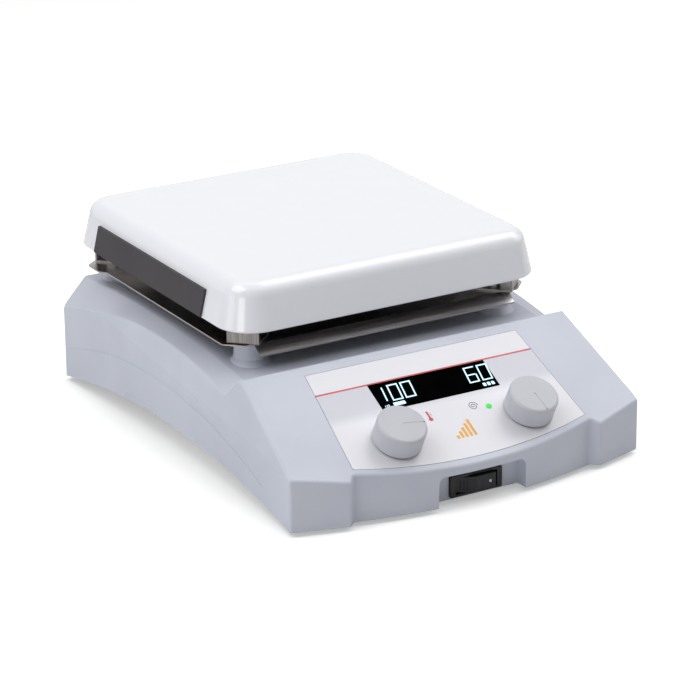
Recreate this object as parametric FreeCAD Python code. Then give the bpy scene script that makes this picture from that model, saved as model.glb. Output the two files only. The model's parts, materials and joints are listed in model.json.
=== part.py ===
import FreeCAD, Part
import math
import os
from FreeCAD import Placement, Rotation, Vector

# Hotplate magnetic stirrer. Millimetres: x to the right, y to the rear, z up.
# The pieces are drawn with y = 0 at the housing's outer front corners and z = 0 at its
# lower edge, and are moved to the part's own origin when they are written.

# Housing seen from above: corner blocks at the sides, a bowed nose between them.
housing_width = 221.0
housing_length = 270.0
rear_corner_radius = 6.0
corner_block_width = 31.5
corner_step_width = 4.0
block_reach = 9.2
nose_end_reach = 4.9
nose_reach = 14.8
wall = 2.8

# Sloping control face, from its height at y = 0 up to the ridge behind it.
face_front_height = 29.6
ridge_y = 64.4
ridge_rise = 0.7
ridge_back_angle = 41.0

# Arched deck under the hotplate and the arched shoulders at its sides.
shoulder_band = 16.0
deck_height = 62.5
deck_apex_shift = 10.0
deck_radius = 1150.0
shoulder_drop = 3.1
shoulder_apex_shift = -15.0
shoulder_radius = 345.0

# Side walls: the cheek plane leans in towards the ridge and fades out to the rear.
cheek_lean = 0.27
cheek_sweep = 0.0275
cheek_rise = 0.4
skirt_arch = 15.5
crease_height = 37.5
crease_apex_shift = -25.0
crease_radius = 345.0
crease_depth = 0.4

# Edge roundings of the moulded housing.
edge_radius = 2.0
shoulder_edge_radius = 2.5

# Overlay on the control face: half widths, and distances up the face from y = 0.
overlay_top_half = 67.3
overlay_bottom_half = 73.3
overlay_top = 65.5
overlay_bottom = -2.0
overlay_bow = 10.0
overlay_thickness = 0.5
overlay_recess = 0.4
overlay_gap = 0.35

# Display, on the face.
window_half_width = 37.0
window_low = 30.5
window_high = 50.0
window_thickness = 1.6
window_stand = 0.2
window_ledge = 2.0
module_depth = 6.0
module_gap = 0.2
header_half = 22.0
header_width = 2.6
header_inset = 3.0

# Knobs and their push encoders.
temp_knob_x = -40.0
speed_knob_x = 43.4
knob_up_face = 10.0
knob_diameter = 27.8
knob_top_diameter = 27.6
knob_height = 12.1
knob_gap = 1.1
knob_edge_radius = 1.7
knob_wall = 2.2
knob_push = 0.7
temp_groove_angle = -10.0
speed_groove_angle = -86.0
shaft_diameter = 6.0
shaft_flat = 0.5
shaft_running_gap = 0.05
hub_diameter = 10.0
encoder_size = 12.5
encoder_wall = 1.0
encoder_bush_diameter = 8.0
encoder_bush_stand = 2.6
rotor_gap = 0.3
nut_across = 11.0
nut_height = 1.8

# Indicator light.
light_x = 22.8
light_up_face = 18.2
light_diameter = 3.2
light_flange = 5.0

# Control board behind the face.
board_side_gap = 11.0
board_low = 3.5
board_high = 60.0
board_depth = 13.0
board_thickness = 1.6
chip_size = 14.0
chip_up_face = 22.0
chip_height = 1.6
driver_width = 7.0
driver_length = 5.0
driver_pitch = 12.0
driver_up_face = 52.0
driver_count = 3
plug_width = 24.0
plug_length = 6.0
plug_height = 6.0

# Switch recess in the nose, open at the bottom, and its rocker switch.
recess_half_width = 27.5
recess_height = 17.5
recess_back_y = -5.5
recess_corner_radius = 4.0
switch_width = 33.0
switch_height = 12.2
switch_low = 1.1
switch_bezel = 1.8
switch_body_width = 28.6
switch_body_height = 10.6
switch_body_depth = 17.0
rocker_half_length = 12.0
rocker_height = 8.6
rocker_axis_depth = 5.0
rocker_crest = 2.6
rocker_fall = 2.6
rocker_travel = 20.0
rocker_gap = 0.35
rocker_pin_diameter = 2.4
rocker_pin_length = 0.9

# Hotplate.
plate_size = 199.5
plate_corner_radius = 21.5
plate_overhang = 4.75
plate_rim_gap = 9.7
plate_skirt_height = 25.9
plate_draft = 13.0
plate_edge_radius = 9.0
plate_wall = 4.0
plate_thickness = 5.6
rim_round = 1.0

# Strip on the left side of the hotplate's skirt.
strip_front_reach = 61.4
strip_rear_reach = 67.4
strip_lift = 1.1
strip_height = 15.0
strip_thickness = 1.4

# Heater under the hotplate.
coil_width = 8.0
coil_height = 6.4
coil_side_gap = 26.0
coil_end_gap = 34.0
coil_runs = 6
coil_tail = 12.0
lead_diameter = 5.0
lead_drop = 13.0
heater_gap = 0.1
pad_thickness = 8.4
pan_inset = 15.75
pan_corner_radius = 12.0
pan_sheet = 0.8
pan_flange = 4.0
probe_diameter = 4.0
probe_length = 26.0
probe_clip_half = 3.2
probe_clip_wall = 0.6

# Corner posts of the hotplate: bosses on the deck and C-shaped sheet brackets.
boss_side_inset = 20.75
boss_end_inset = 22.75
boss_diameter = 17.0
boss_depth = 20.2
boss_taper = 0.8
boss_flare = 2.5
bracket_sheet = 1.0
bracket_width = 18.0
bracket_leg_reach = 12.5
bracket_inner_reach = 24.0
bracket_foot_back = 8.0
stud_inset = 13.0
stud_diameter = 4.0
stud_end = 5.0
plate_nut_height = 3.2
post_screw_diameter = 4.0
screw_head_diameter = 8.0
screw_head_height = 2.4
post_screw_length = 9.0
screw_hole_spare = 3.0

# Heat shield between the deck and the hotplate.
shield_sheet = 0.8
shield_lift = 8.7
shield_side_inset = 2.75
shield_front_inset = 11.75
shield_rear_inset = 13.75
shield_corner_cut = 9.0
shield_lip_inset = 17.75
shield_lip_run = 6.0
shield_lip_drop = 5.0
shield_ear_reach = 3.2
shield_ear_length = 18.0
shield_corner_radius = 3.0
shield_hole_diameter = 24.0

# Stirring motor, shaft and magnet.
motor_diameter = 56.0
motor_floor_gap = 4.0
motor_wall = 2.0
motor_drop = 12.5
motor_mount_half = 34.0
mount_boss_diameter = 9.0
mount_plate_half = 40.0
mount_plate_sheet = 1.5
motor_screw_length = 5.0
stator_bore = 36.0
stator_end_gap = 1.0
stator_slots = 12
bearing_diameter = 16.0
bearing_height = 5.0
motor_air_gap = 0.4
deck_hole_diameter = 16.0
carrier_length = 64.0
carrier_width = 17.0
carrier_height = 8.0
carrier_lift = 2.5
magnet_diameter = 13.0
magnet_height = 6.0
magnet_offset = 22.0
shaft_into_carrier = 6.0

# Base plate, its screws and the feet.
base_height = 16.5
base_sheet = 1.5
base_clearance = 0.4
pocket_side_gap = 2.5
pocket_rear_y = 24.0
pocket_low = 0.1
base_boss_gap = 3.0
base_boss_front_y = 22.0
base_boss_rear_inset = 18.0
base_boss_diameter = 9.0
base_screw_diameter = 3.5
base_screw_length = 9.0
column_inset = 24.0
column_front_y = 16.0
column_rear_inset = 26.0
column_diameter = 21.0
column_end = 0.6
foot_diameter = 17.0
foot_stand = 2.5
foot_stem_diameter = 8.0
foot_stem_length = 7.0
base_slot_length = 46.0
base_slot_width = 3.0
base_slot_count = 7
base_slot_pitch = 8.0

# Mains inlet in the rear wall.
inlet_side = 58.5
inlet_z = 33.0
inlet_flange_width = 31.0
inlet_flange_height = 24.0
inlet_flange_thickness = 2.4
inlet_body_width = 27.0
inlet_body_height = 20.0
inlet_body_depth = 21.0
inlet_socket_width = 24.0
inlet_socket_height = 16.4
inlet_socket_depth = 18.0
inlet_corner = 3.5
pin_pitch = 7.0
pin_width = 2.0
pin_height = 4.0
pin_length = 12.0
pin_tail = 6.0
earth_pin_rise = 4.0

# Cooling slots in the rear wall.
vent_count = 9
vent_pitch = 6.0
vent_width = 3.0
vent_height = 22.0
vent_x = -28.0
vent_low = 24.0

# Power board inside the housing.
power_board_wall_gap = 12.5
power_board_width = 56.0
power_board_front_reach = 105.0
power_board_rear_reach = 55.0
standoff_inset = 5.0
standoff_height = 4.5
standoff_diameter = 6.0
transformer_width = 34.0
transformer_length = 40.0
transformer_height = 25.0
transformer_side = 6.0
transformer_front = 18.0
bobbin_inset = 5.0
capacitor_diameter = 14.0
capacitor_height = 20.0
capacitor_side = 14.0
capacitor_front = 72.0
capacitor_pitch = 16.5
heatsink_length = 44.0
heatsink_width = 24.0
heatsink_height = 20.0
heatsink_base = 4.0
heatsink_side = 8.0
heatsink_rear = 12.0
fin_count = 6
fin_thickness = 1.5
relay_length = 26.0
relay_width = 12.0
relay_height = 15.0
relay_side = 4.0
relay_front = 20.0

half_width = housing_width / 2
block_inner_x = half_width - corner_block_width
nose_half_width = block_inner_x - corner_step_width
deck_edge_x = half_width - shoulder_band
ridge_height = deck_height + ridge_rise
shoulder_height = deck_height - shoulder_drop
board_half_width = nose_half_width - board_side_gap
pocket_half_width = board_half_width + pocket_side_gap
motor_top = deck_height - motor_drop
motor_height = motor_top - base_height - base_sheet - motor_floor_gap
rotor_height = motor_height - 2 * bearing_height
stator_height = rotor_height - 2 * stator_end_gap
cheek_start = face_front_height + cheek_rise
slope = (ridge_height - face_front_height) / ridge_y
face_angle = math.degrees(math.atan(slope))
plate_half = plate_size / 2
boss_x = plate_half - boss_side_inset
boss_dy = plate_half - boss_end_inset
pan_half = plate_half - pan_inset
coil_half_run = pan_half - coil_side_gap
coil_pitch = 2 * (pan_half - coil_end_gap) / (coil_runs - 1)
shield_half_width = plate_half - shield_side_inset
shield_front_dy = plate_half - shield_front_inset
shield_rear_dy = plate_half - shield_rear_inset
shield_lip_half = plate_half - shield_lip_inset
inlet_x = half_width - inlet_side
plate_centre_y = housing_length + plate_overhang - plate_half
deck_apex_y = plate_centre_y + deck_apex_shift
shoulder_apex_y = plate_centre_y + shoulder_apex_shift
crease_apex_y = plate_centre_y + crease_apex_shift
shield_underside = deck_height + shield_lift
shield_top = shield_underside + shield_sheet
plate_rim_height = shield_top + plate_rim_gap
plate_top_height = plate_rim_height + plate_skirt_height
plate_underside = plate_top_height - plate_thickness
pan_bottom = plate_underside - heater_gap - coil_height - heater_gap - pad_thickness - pan_sheet
base_boss_x = board_half_width + base_boss_gap + base_boss_diameter / 2
base_boss_rear_y = housing_length - base_boss_rear_inset
column_x = half_width - column_inset
column_rear_y = housing_length - column_rear_inset
power_board_x0 = power_board_wall_gap - half_width
power_board_x1 = power_board_x0 + power_board_width
power_board_y0 = plate_centre_y - power_board_front_reach
power_board_y1 = plate_centre_y + power_board_rear_reach
draft_sin = math.sin(math.radians(plate_draft))
draft_cos = math.cos(math.radians(plate_draft))
plate_reach = plate_half - rim_round * ((1 + draft_sin) / draft_cos - 1)
rear_y = max(housing_length + inlet_flange_thickness, plate_centre_y + plate_reach)
origin_shift = Vector(0, -(rear_y - nose_reach) / 2, foot_stand)


def box(x0, y0, z0, x1, y1, z1):
    return Part.makeBox(x1 - x0, y1 - y0, z1 - z0, Vector(x0, y0, z0))


def rod(x, y, z0, z1, diameter):
    return Part.makeCylinder(diameter / 2, z1 - z0, Vector(x, y, z0))


def prism(points, direction):
    pts = [Vector(*p) for p in points]
    return Part.Face(Part.makePolygon(pts + pts[:1])).extrude(Vector(*direction))


def fuse_all(shapes):
    return shapes[0].multiFuse(shapes[1:]).removeSplitter()


def mirror_x(shape):
    return shape.mirror(Vector(0, 0, 0), Vector(1, 0, 0))


def rounded_rect(half_x, half_y, radius, z, y=0.0):
    """Closed wire of a rectangle with rounded corners, centred on (0, y)."""
    k = radius * (1 - math.sqrt(0.5))
    hx, hy, r = half_x, half_y, radius
    corners = [(1, 1), (-1, 1), (-1, -1), (1, -1)]
    edges = []
    last = None
    for sx, sy in corners:
        along = Vector(sx * hx, y + sy * (hy - r), z)
        across = Vector(sx * (hx - r), y + sy * hy, z)
        middle = Vector(sx * (hx - k), y + sy * (hy - k), z)
        start, end = (along, across) if sx * sy > 0 else (across, along)
        if last is not None:
            edges.append(Part.LineSegment(last, start).toShape())
        else:
            first = start
        edges.append(Part.Arc(start, middle, end).toShape())
        last = end
    edges.append(Part.LineSegment(last, first).toShape())
    return Part.Wire(edges)


def slab(half_x, half_y, radius, z0, z1, y=0.0):
    return Part.Face(rounded_rect(half_x, half_y, radius, z0, y)).extrude(Vector(0, 0, z1 - z0))


def on_face(shape):
    """Place a shape drawn on the control face: x across, y up the face, z out of it."""
    placed = shape.copy()
    tilt = Placement(Vector(0, 0, face_front_height), Rotation(Vector(1, 0, 0), face_angle))
    placed.Placement = tilt.multiply(placed.Placement)
    return placed


def fillet_at(shape, radius, test):
    edges = [e for e in shape.Edges if test(e.CenterOfMass, e)]
    return shape.makeFillet(radius, edges)


def plan_wire():
    corners = [(-nose_half_width, -nose_end_reach), (-block_inner_x, -block_reach)]
    corners += [(-half_width, 0.0), (-half_width, housing_length)]
    corners += [(-x, y) for x, y in reversed(corners)]
    pts = [Vector(x, y, 0) for x, y in corners]
    edges = [Part.LineSegment(a, b).toShape() for a, b in zip(pts, pts[1:])]
    edges.append(Part.Arc(pts[-1], Vector(0, -nose_reach, 0), pts[0]).toShape())
    return Part.Wire(edges)


def plan_prism(inset, bottom, top):
    outline = plan_wire()
    if inset > 0:
        outline = outline.makeOffset2D(-inset, 2, False, False, True)
    body = Part.Face(outline).extrude(Vector(0, 0, top - bottom))
    body.translate(Vector(0, 0, bottom))
    return body


def arch_section(x, apex_y, height, radius, rear, bottom):
    """Side profile at one x: a circular arch over straight sides."""
    def at(y):
        return Vector(x, y, height - radius + math.sqrt(radius ** 2 - (y - apex_y) ** 2))
    a, m, b = at(ridge_y), at(0.5 * (ridge_y + rear)), at(rear)
    c, d = Vector(x, rear, bottom), Vector(x, ridge_y, bottom)
    edges = [Part.Arc(a, m, b).toShape()]
    edges += [Part.LineSegment(p, q).toShape() for p, q in ((b, c), (c, d), (d, a))]
    return Part.Wire(edges)


def deck_at(y):
    """Height of the deck's surface between the shoulders."""
    return deck_height - deck_radius + math.sqrt(deck_radius ** 2 - (y - deck_apex_y) ** 2)


def deck_body(inset, bottom):
    rear = housing_length - inset
    side = half_width - inset
    edge = deck_edge_x - 0.4 * inset
    low = (shoulder_apex_y, shoulder_height - inset, shoulder_radius - inset, rear, bottom)
    top = (deck_apex_y, deck_height - inset, deck_radius - inset, rear, bottom)
    sections = [arch_section(-side, *low), arch_section(-edge, *top)]
    sections += [arch_section(edge, *top), arch_section(side, *low)]
    return Part.makeLoft(sections, True, True)


def console_body(inset, bottom):
    drop = inset / math.cos(math.radians(face_angle))
    back = math.tan(math.radians(ridge_back_angle))
    front = -nose_reach - 5
    crest = ridge_y - 0.5 * inset
    foot = ridge_height / 3
    def top(y):
        return face_front_height + slope * y - drop
    side = [(front, bottom), (front, top(front)), (crest, top(crest))]
    side += [(crest + back * (top(crest) - foot), foot), (crest + back * (top(crest) - foot), bottom)]
    x = half_width - inset
    return prism([(-x, y, z) for y, z in side], (2 * x, 0, 0))


def cheek_cutters(inset):
    corners = []
    low, high = -ridge_height, 2 * ridge_height
    front, rear = -half_width, housing_length + half_width
    for y, z in ((front, low), (front, high), (rear, high), (rear, low)):
        x = -half_width + inset + cheek_lean * (z - cheek_start) - cheek_sweep * y
        corners.append((x, y, z))
    left = prism(corners, (-housing_width, 0, 0))
    return [left, mirror_x(left)]


def housing_form(inset, bottom):
    body = deck_body(inset, bottom).fuse(console_body(inset, bottom))
    body = body.common(plan_prism(inset, bottom - 1, ridge_height + 20))
    body = body.cut(Part.makeCompound(cheek_cutters(inset)))
    return body.removeSplitter().Solids[0]


def skirt_arch_tool():
    half = housing_length / 2
    radius = half ** 2 / (2 * skirt_arch) + skirt_arch / 2
    start = Vector(-housing_width, half, skirt_arch - radius)
    return Part.makeCylinder(radius, 2 * housing_width, start, Vector(1, 0, 0))


def crease_tools():
    """Thin slabs that set the side wall back above the faint arched crease."""
    depth = crease_depth
    slab_box = box(-half_width - 1, cheek_start, 0, -half_width + depth, housing_length + 1, ridge_height)
    start = Vector(-half_width - 2, crease_apex_y, crease_height - crease_radius)
    below = Part.makeCylinder(crease_radius, depth + 4, start, Vector(1, 0, 0))
    left = slab_box.cut(below)
    return [left, mirror_x(left)]


def rounded_outer_form():
    """Outer form with its moulded edges rounded: console first, then the rear."""
    body = housing_form(0, 0)
    rear = housing_length
    def is_console(c, e):
        ridge = abs(c.y - ridge_y) < 0.5 and c.z > ridge_height - 1
        slope_side = 0.3 * ridge_y < c.y < 0.8 * ridge_y and c.z > face_front_height
        front = c.y < 0.6 and c.z > 5 and e.Length > 0.5
        return ridge or slope_side or front
    def is_rear_corner(c, e):
        return c.y > rear - 0.1 and abs(c.x) > half_width - 0.1 and c.z < shoulder_height / 2
    def is_shoulder(c, e):
        along = 0.4 * rear < c.y < 0.96 * rear and c.z > shoulder_height - 10
        return along or (c.y > rear - 5 and c.z > shoulder_height - 16)
    body = fillet_at(body, edge_radius, is_console)
    body = fillet_at(body, rear_corner_radius, is_rear_corner)
    return fillet_at(body, shoulder_edge_radius, is_shoulder)


def switch_recess():
    r = recess_corner_radius
    half = recess_half_width
    front = -nose_reach - 5
    hole = box(-half, front, -5, half, recess_back_y, recess_height)
    def top_corner(c, e):
        return abs(c.z - recess_height) < 0.1 and abs(abs(c.x) - half) < 0.1 and e.Length > 5
    return fillet_at(hole, r, top_corner)


def recess_housing():
    half = recess_half_width + wall
    block = box(-half, -nose_reach, 0, half, recess_back_y + wall, recess_height + wall)
    return block.common(plan_prism(0, -1, ridge_height))


def overlay_outline(grow, z):
    a, b = overlay_top_half + grow, overlay_bottom_half + grow
    low, high = overlay_bottom - 0.3 * grow, overlay_top + grow
    pts = [Vector(-b, low, z), Vector(-a, high, z), Vector(a, high, z), Vector(b, low, z)]
    edges = [Part.LineSegment(p, q).toShape() for p, q in zip(pts, pts[1:])]
    edges.append(Part.Arc(pts[3], Vector(0, low - overlay_bow - 0.7 * grow, z), pts[0]).toShape())
    return Part.Face(Part.Wire(edges))


def window_box(shrink, z0, z1):
    half = window_half_width - shrink
    return box(-half, window_low + shrink, z0, half, window_high - shrink, z1)


def face_cutters():
    """What is cut through the control face, drawn on it."""
    tools = [overlay_outline(overlay_gap, -overlay_recess).extrude(Vector(0, 0, 5))]
    tools.append(window_box(-0.15, window_stand - window_thickness, 5))
    tools.append(window_box(window_ledge, -wall - 3, 5))
    for x in (temp_knob_x, speed_knob_x):
        tools.append(rod(x, knob_up_face, -wall - 3, 5, encoder_bush_diameter + 0.4))
    tools.append(rod(light_x, light_up_face, -wall - 3, 5, light_diameter + 0.2))
    return [on_face(t) for t in tools]


def post_places():
    places = []
    for sx in (-1, 1):
        for sy in (-1, 1):
            places.append((sx * boss_x, plate_centre_y + sy * boss_dy, sx, sy))
    return places


def housing_solid_parts():
    """Bosses and columns that are moulded with the housing."""
    added = []
    limit = housing_form(wall / 2, 0)
    for x, y, _, _ in post_places():
        boss = Part.makeCone(boss_diameter / 2 + boss_taper, boss_diameter / 2, boss_depth,
                             Vector(x, y, shield_underside - boss_depth))
        added.append(boss)
        low = deck_at(y) - boss_flare
        wide = boss_diameter / 2 + 2 * boss_flare
        added.append(Part.makeCone(wide, boss_diameter / 2, 2 * boss_flare, Vector(x, y, low)))
    for sx in (-1, 1):
        for sy in (-1, 1):
            x, y = sx * motor_mount_half, plate_centre_y + sy * motor_mount_half
            low = motor_top + mount_plate_sheet
            added.append(rod(x, y, low, deck_height - wall / 2, mount_boss_diameter))
        for y in (base_boss_front_y, base_boss_rear_y):
            boss = rod(sx * base_boss_x, y, base_height + base_sheet, ridge_height, base_boss_diameter)
            added.append(boss.common(limit))
        for y in (column_front_y, column_rear_y):
            column = rod(sx * column_x, y, column_end, ridge_height, column_diameter)
            added.append(column.common(limit))
    added.append(recess_housing())
    return added


def housing_holes():
    cut = [switch_recess()]
    half_w, half_h = switch_body_width / 2 + 0.2, switch_body_height / 2 + 0.2
    mid = switch_low + switch_height / 2
    cut.append(box(-half_w, recess_back_y - 5, mid - half_h, half_w, recess_back_y + wall + 5, mid + half_h))
    cut.append(rod(0, plate_centre_y, motor_top, shield_underside, deck_hole_diameter))
    for x, y, _, _ in post_places():
        depth = post_screw_length + screw_hole_spare
        cut.append(rod(x, y, shield_underside - depth, shield_underside + 1, post_screw_diameter))
    for sx in (-1, 1):
        for sy in (-1, 1):
            x, y = sx * motor_mount_half, plate_centre_y + sy * motor_mount_half
            deep = motor_top + mount_plate_sheet + motor_screw_length + 1
            cut.append(rod(x, y, motor_top, deep, base_screw_diameter))
        for y in (base_boss_front_y, base_boss_rear_y):
            deep = base_height + base_screw_length + screw_hole_spare
            cut.append(rod(sx * base_boss_x, y, base_height, deep, base_screw_diameter))
        for y in (column_front_y, column_rear_y):
            cut.append(rod(sx * column_x, y, column_end - 1, column_end + foot_stem_length, foot_stem_diameter))
    half_w, half_h = inlet_body_width / 2 + 0.2, inlet_body_height / 2 + 0.2
    cut.append(box(inlet_x - half_w, housing_length - wall - 5, inlet_z - half_h,
                   inlet_x + half_w, housing_length + 5, inlet_z + half_h))
    for i in range(vent_count):
        x = vent_x + (i - (vent_count - 1) / 2) * vent_pitch
        cut.append(box(x - vent_width / 2, housing_length - wall - 1, vent_low,
                       x + vent_width / 2, housing_length + 1, vent_low + vent_height))
    return cut + face_cutters()


def housing_shell():
    body = rounded_outer_form()
    body = body.cut(Part.makeCompound([skirt_arch_tool()] + crease_tools()))
    body = body.cut(housing_form(wall, -5))
    body = body.multiFuse(housing_solid_parts())
    return body.cut(Part.makeCompound(housing_holes()))


def pocket_box(inset, z0, z1):
    half = pocket_half_width - inset
    front = recess_back_y + wall + base_clearance + inset
    return box(-half, front, z0, half, pocket_rear_y - inset, z1)


def base_plate():
    """Sheet floor above the arched skirt, with a pocket that closes in the switch."""
    top = base_height + base_sheet
    plate = plan_prism(wall + base_clearance, base_height, top)
    plate = plate.fuse(pocket_box(0, pocket_low, top))
    plate = plate.cut(pocket_box(base_sheet, pocket_low + base_sheet, ridge_height))
    front = recess_back_y + wall + base_clearance
    side = recess_half_width + wall + base_clearance
    cut = [box(-side, -half_width, 0, side, front, ridge_height)]
    half_w = switch_body_width / 2 + base_clearance
    half_h = switch_body_height / 2 + base_clearance
    mid = switch_middle()
    cut.append(box(-half_w, front - 1, mid - half_h, half_w, front + base_sheet + 1, mid + half_h))
    for sx in (-1, 1):
        for y in (column_front_y, column_rear_y):
            cut.append(rod(sx * column_x, y, 0, ridge_height, column_diameter + 2 * base_clearance))
        for y in (base_boss_front_y, base_boss_rear_y):
            cut.append(rod(sx * base_boss_x, y, 0, ridge_height, base_screw_diameter + 0.6))
    first = plate_centre_y - (base_slot_count - 1) / 2 * base_slot_pitch
    half = base_slot_length / 2
    for i in range(base_slot_count):
        y = first + i * base_slot_pitch
        cut.append(slab(half, base_slot_width / 2, base_slot_width / 2 - 0.01, 0, ridge_height, y))
    return plate.cut(Part.makeCompound(cut))


def base_screws():
    screws = []
    for sx in (-1, 1):
        for y in (base_boss_front_y, base_boss_rear_y):
            x = sx * base_boss_x
            shank = rod(x, y, base_height, base_height + base_screw_length, base_screw_diameter - 0.1)
            head = Part.makeCone(screw_head_diameter / 2 - 1.2, screw_head_diameter / 2, screw_head_height,
                                 Vector(x, y, base_height - screw_head_height))
            screws.append(head.fuse(shank))
    return Part.makeCompound(screws)


def foot(x, y):
    bevel = foot_stand / 3
    pad = rod(x, y, bevel - foot_stand, column_end, foot_diameter)
    low = Part.makeCone(foot_diameter / 2 - bevel, foot_diameter / 2, bevel, Vector(x, y, -foot_stand))
    pad = pad.fuse(low)
    stem = rod(x, y, 0, column_end + foot_stem_length - 0.3, foot_stem_diameter)
    return pad.fuse(stem).removeSplitter()


def control_overlay():
    sheet = overlay_outline(0, -overlay_recess).extrude(Vector(0, 0, overlay_thickness))
    cut = [window_box(-0.05, -2, 2), rod(light_x, light_up_face, -2, 2, light_diameter + 0.2)]
    for x in (temp_knob_x, speed_knob_x):
        cut.append(rod(x, knob_up_face, -2, 2, encoder_bush_diameter + 0.4))
    return on_face(sheet.cut(Part.makeCompound(cut)))


def display_window():
    return on_face(window_box(0, window_stand - window_thickness, window_stand))


def display_module():
    """Display block under the window, its pin header standing on the control board."""
    high = -wall - module_gap
    low = high - module_depth
    frame = window_box(1.0, low, high)
    glass = window_box(window_ledge + 0.3, high, -window_thickness - module_gap + window_stand)
    header = box(-header_half, window_high - header_inset - header_width, -board_depth,
                 header_half, window_high - header_inset, low)
    return on_face(fuse_all([frame, glass, header]))


def status_light():
    pipe = rod(light_x, light_up_face, -wall - 0.1, window_stand + 0.3, light_diameter)
    flange = rod(light_x, light_up_face, -wall - 1.5, -wall - 0.1, light_flange)
    stem = rod(light_x, light_up_face, -board_depth, -wall - 1.5, light_diameter - 0.6)
    return on_face(fuse_all([pipe, flange, stem]))


def control_board():
    low = -board_depth - board_thickness
    board = box(-board_half_width, board_low, low, board_half_width, board_high, -board_depth)
    half = chip_size / 2
    chips = [box(-half, chip_up_face, -board_depth, half, chip_up_face + chip_size, chip_height - board_depth)]
    for i in range(driver_count):
        x = driver_width - board_half_width + i * driver_pitch
        chips.append(box(x, driver_up_face, -board_depth,
                         x + driver_width, driver_up_face + driver_length, chip_height - board_depth))
    x = speed_knob_x - plug_width / 2
    plug = box(x, driver_up_face, -board_depth,
               x + plug_width, driver_up_face + plug_length, plug_height - board_depth)
    return on_face(fuse_all([board, plug] + chips))


def encoder_body(x):
    y = knob_up_face
    half = encoder_size / 2
    low, high = -board_depth, -wall
    can = box(x - half, y - half, low, x + half, y + half, high)
    inner = rod(x, y, low + encoder_wall, high - encoder_wall, encoder_size - 2 * encoder_wall)
    bush = rod(x, y, high - encoder_wall, encoder_bush_stand, encoder_bush_diameter)
    bore = rod(x, y, low + encoder_wall, encoder_bush_stand + 1, shaft_diameter + 2 * shaft_running_gap)
    return on_face(can.cut(inner).fuse(bush).cut(bore))


def encoder_rotor(x):
    low = -board_depth + encoder_wall + rotor_gap
    high = -wall - encoder_wall - rotor_gap
    ring = rod(x, knob_up_face, low, high, encoder_size - 2 * encoder_wall - 2 * rotor_gap)
    bore = rod(x, knob_up_face, low - 1, high + 1, shaft_diameter + 2 * shaft_running_gap)
    return on_face(ring.cut(bore))


def encoder_nut(x):
    pts = []
    for i in range(6):
        a = math.radians(60 * i + 30)
        r = nut_across / math.sqrt(3)
        pts.append((x + r * math.cos(a), knob_up_face + r * math.sin(a), overlay_thickness - overlay_recess))
    nut = prism(pts, (0, 0, nut_height))
    return on_face(nut.cut(rod(x, knob_up_face, -2, 9, encoder_bush_diameter)))


def knob_shaft(x):
    low = -board_depth + encoder_wall + knob_push + rotor_gap
    high = knob_gap + knob_height - knob_wall
    shaft = rod(x, knob_up_face, low, high, shaft_diameter)
    half = shaft_diameter / 2
    flat = box(x - half, knob_up_face + half * shaft_flat, encoder_bush_stand + 0.4,
               x + half, knob_up_face + half + 1, high + 1)
    return on_face(shaft.cut(flat))


def knob(x, turned):
    """Hollow knob: tapered skirt, rounded top edge, hub for the shaft, pointer groove."""
    low, high = knob_gap, knob_gap + knob_height
    body = Part.makeCone(knob_diameter / 2, knob_top_diameter / 2, knob_height, Vector(0, 0, low))
    body = fillet_at(body, knob_edge_radius, lambda c, e: c.z > high - 0.1 and e.Length > 10)
    hollow = rod(0, 0, low - 1, high - knob_wall, knob_top_diameter - 2 * knob_wall)
    body = body.cut(hollow)
    hub_low = encoder_bush_stand + knob_push + 0.4
    body = body.fuse(rod(0, 0, hub_low, high - knob_wall / 2, hub_diameter))
    half = shaft_diameter / 2
    bore = rod(0, 0, hub_low - 1, high - knob_wall, shaft_diameter)
    bore = bore.cut(box(-half, half * shaft_flat, hub_low - 2, half, half + 1, high + 1))
    groove = box(0, -0.45, high - 0.5, knob_top_diameter / 2, 0.45, high + 1)
    body = body.cut(bore)
    groove.rotate(Vector(0, 0, 0), Vector(0, 0, 1), turned)
    body = body.cut(groove)
    body.translate(Vector(x, knob_up_face, 0))
    return on_face(body)


def switch_middle():
    return switch_low + switch_height / 2


def switch_frame():
    mid = switch_middle()
    front = recess_back_y - switch_bezel
    back = recess_back_y + switch_body_depth
    bezel = box(-switch_width / 2, front, switch_low, switch_width / 2, recess_back_y, switch_low + switch_height)
    def corner(c, e):
        return abs(c.y - (front + recess_back_y) / 2) < 0.01
    bezel = fillet_at(bezel, 1.0, corner)
    bezel = fillet_at(bezel, 0.4, lambda c, e: c.y < front + 0.01)
    half_w, half_h = switch_body_width / 2, switch_body_height / 2
    body = box(-half_w, recess_back_y, mid - half_h, half_w, back, mid + half_h)
    frame = bezel.fuse(body)
    half_x = rocker_half_length + 1.1
    half_z = rocker_height / 2 + rocker_gap
    axis_y = front + rocker_axis_depth
    frame = frame.cut(box(-half_x, front - 1, mid - half_z, half_x, axis_y + 4.5, mid + half_z))
    pin = rocker_height / 2 + rocker_pin_length + rocker_gap
    hole = Part.makeCylinder(rocker_pin_diameter / 2 + shaft_running_gap, 2 * pin, Vector(0, axis_y, mid - pin))
    return frame.cut(hole)


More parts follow.
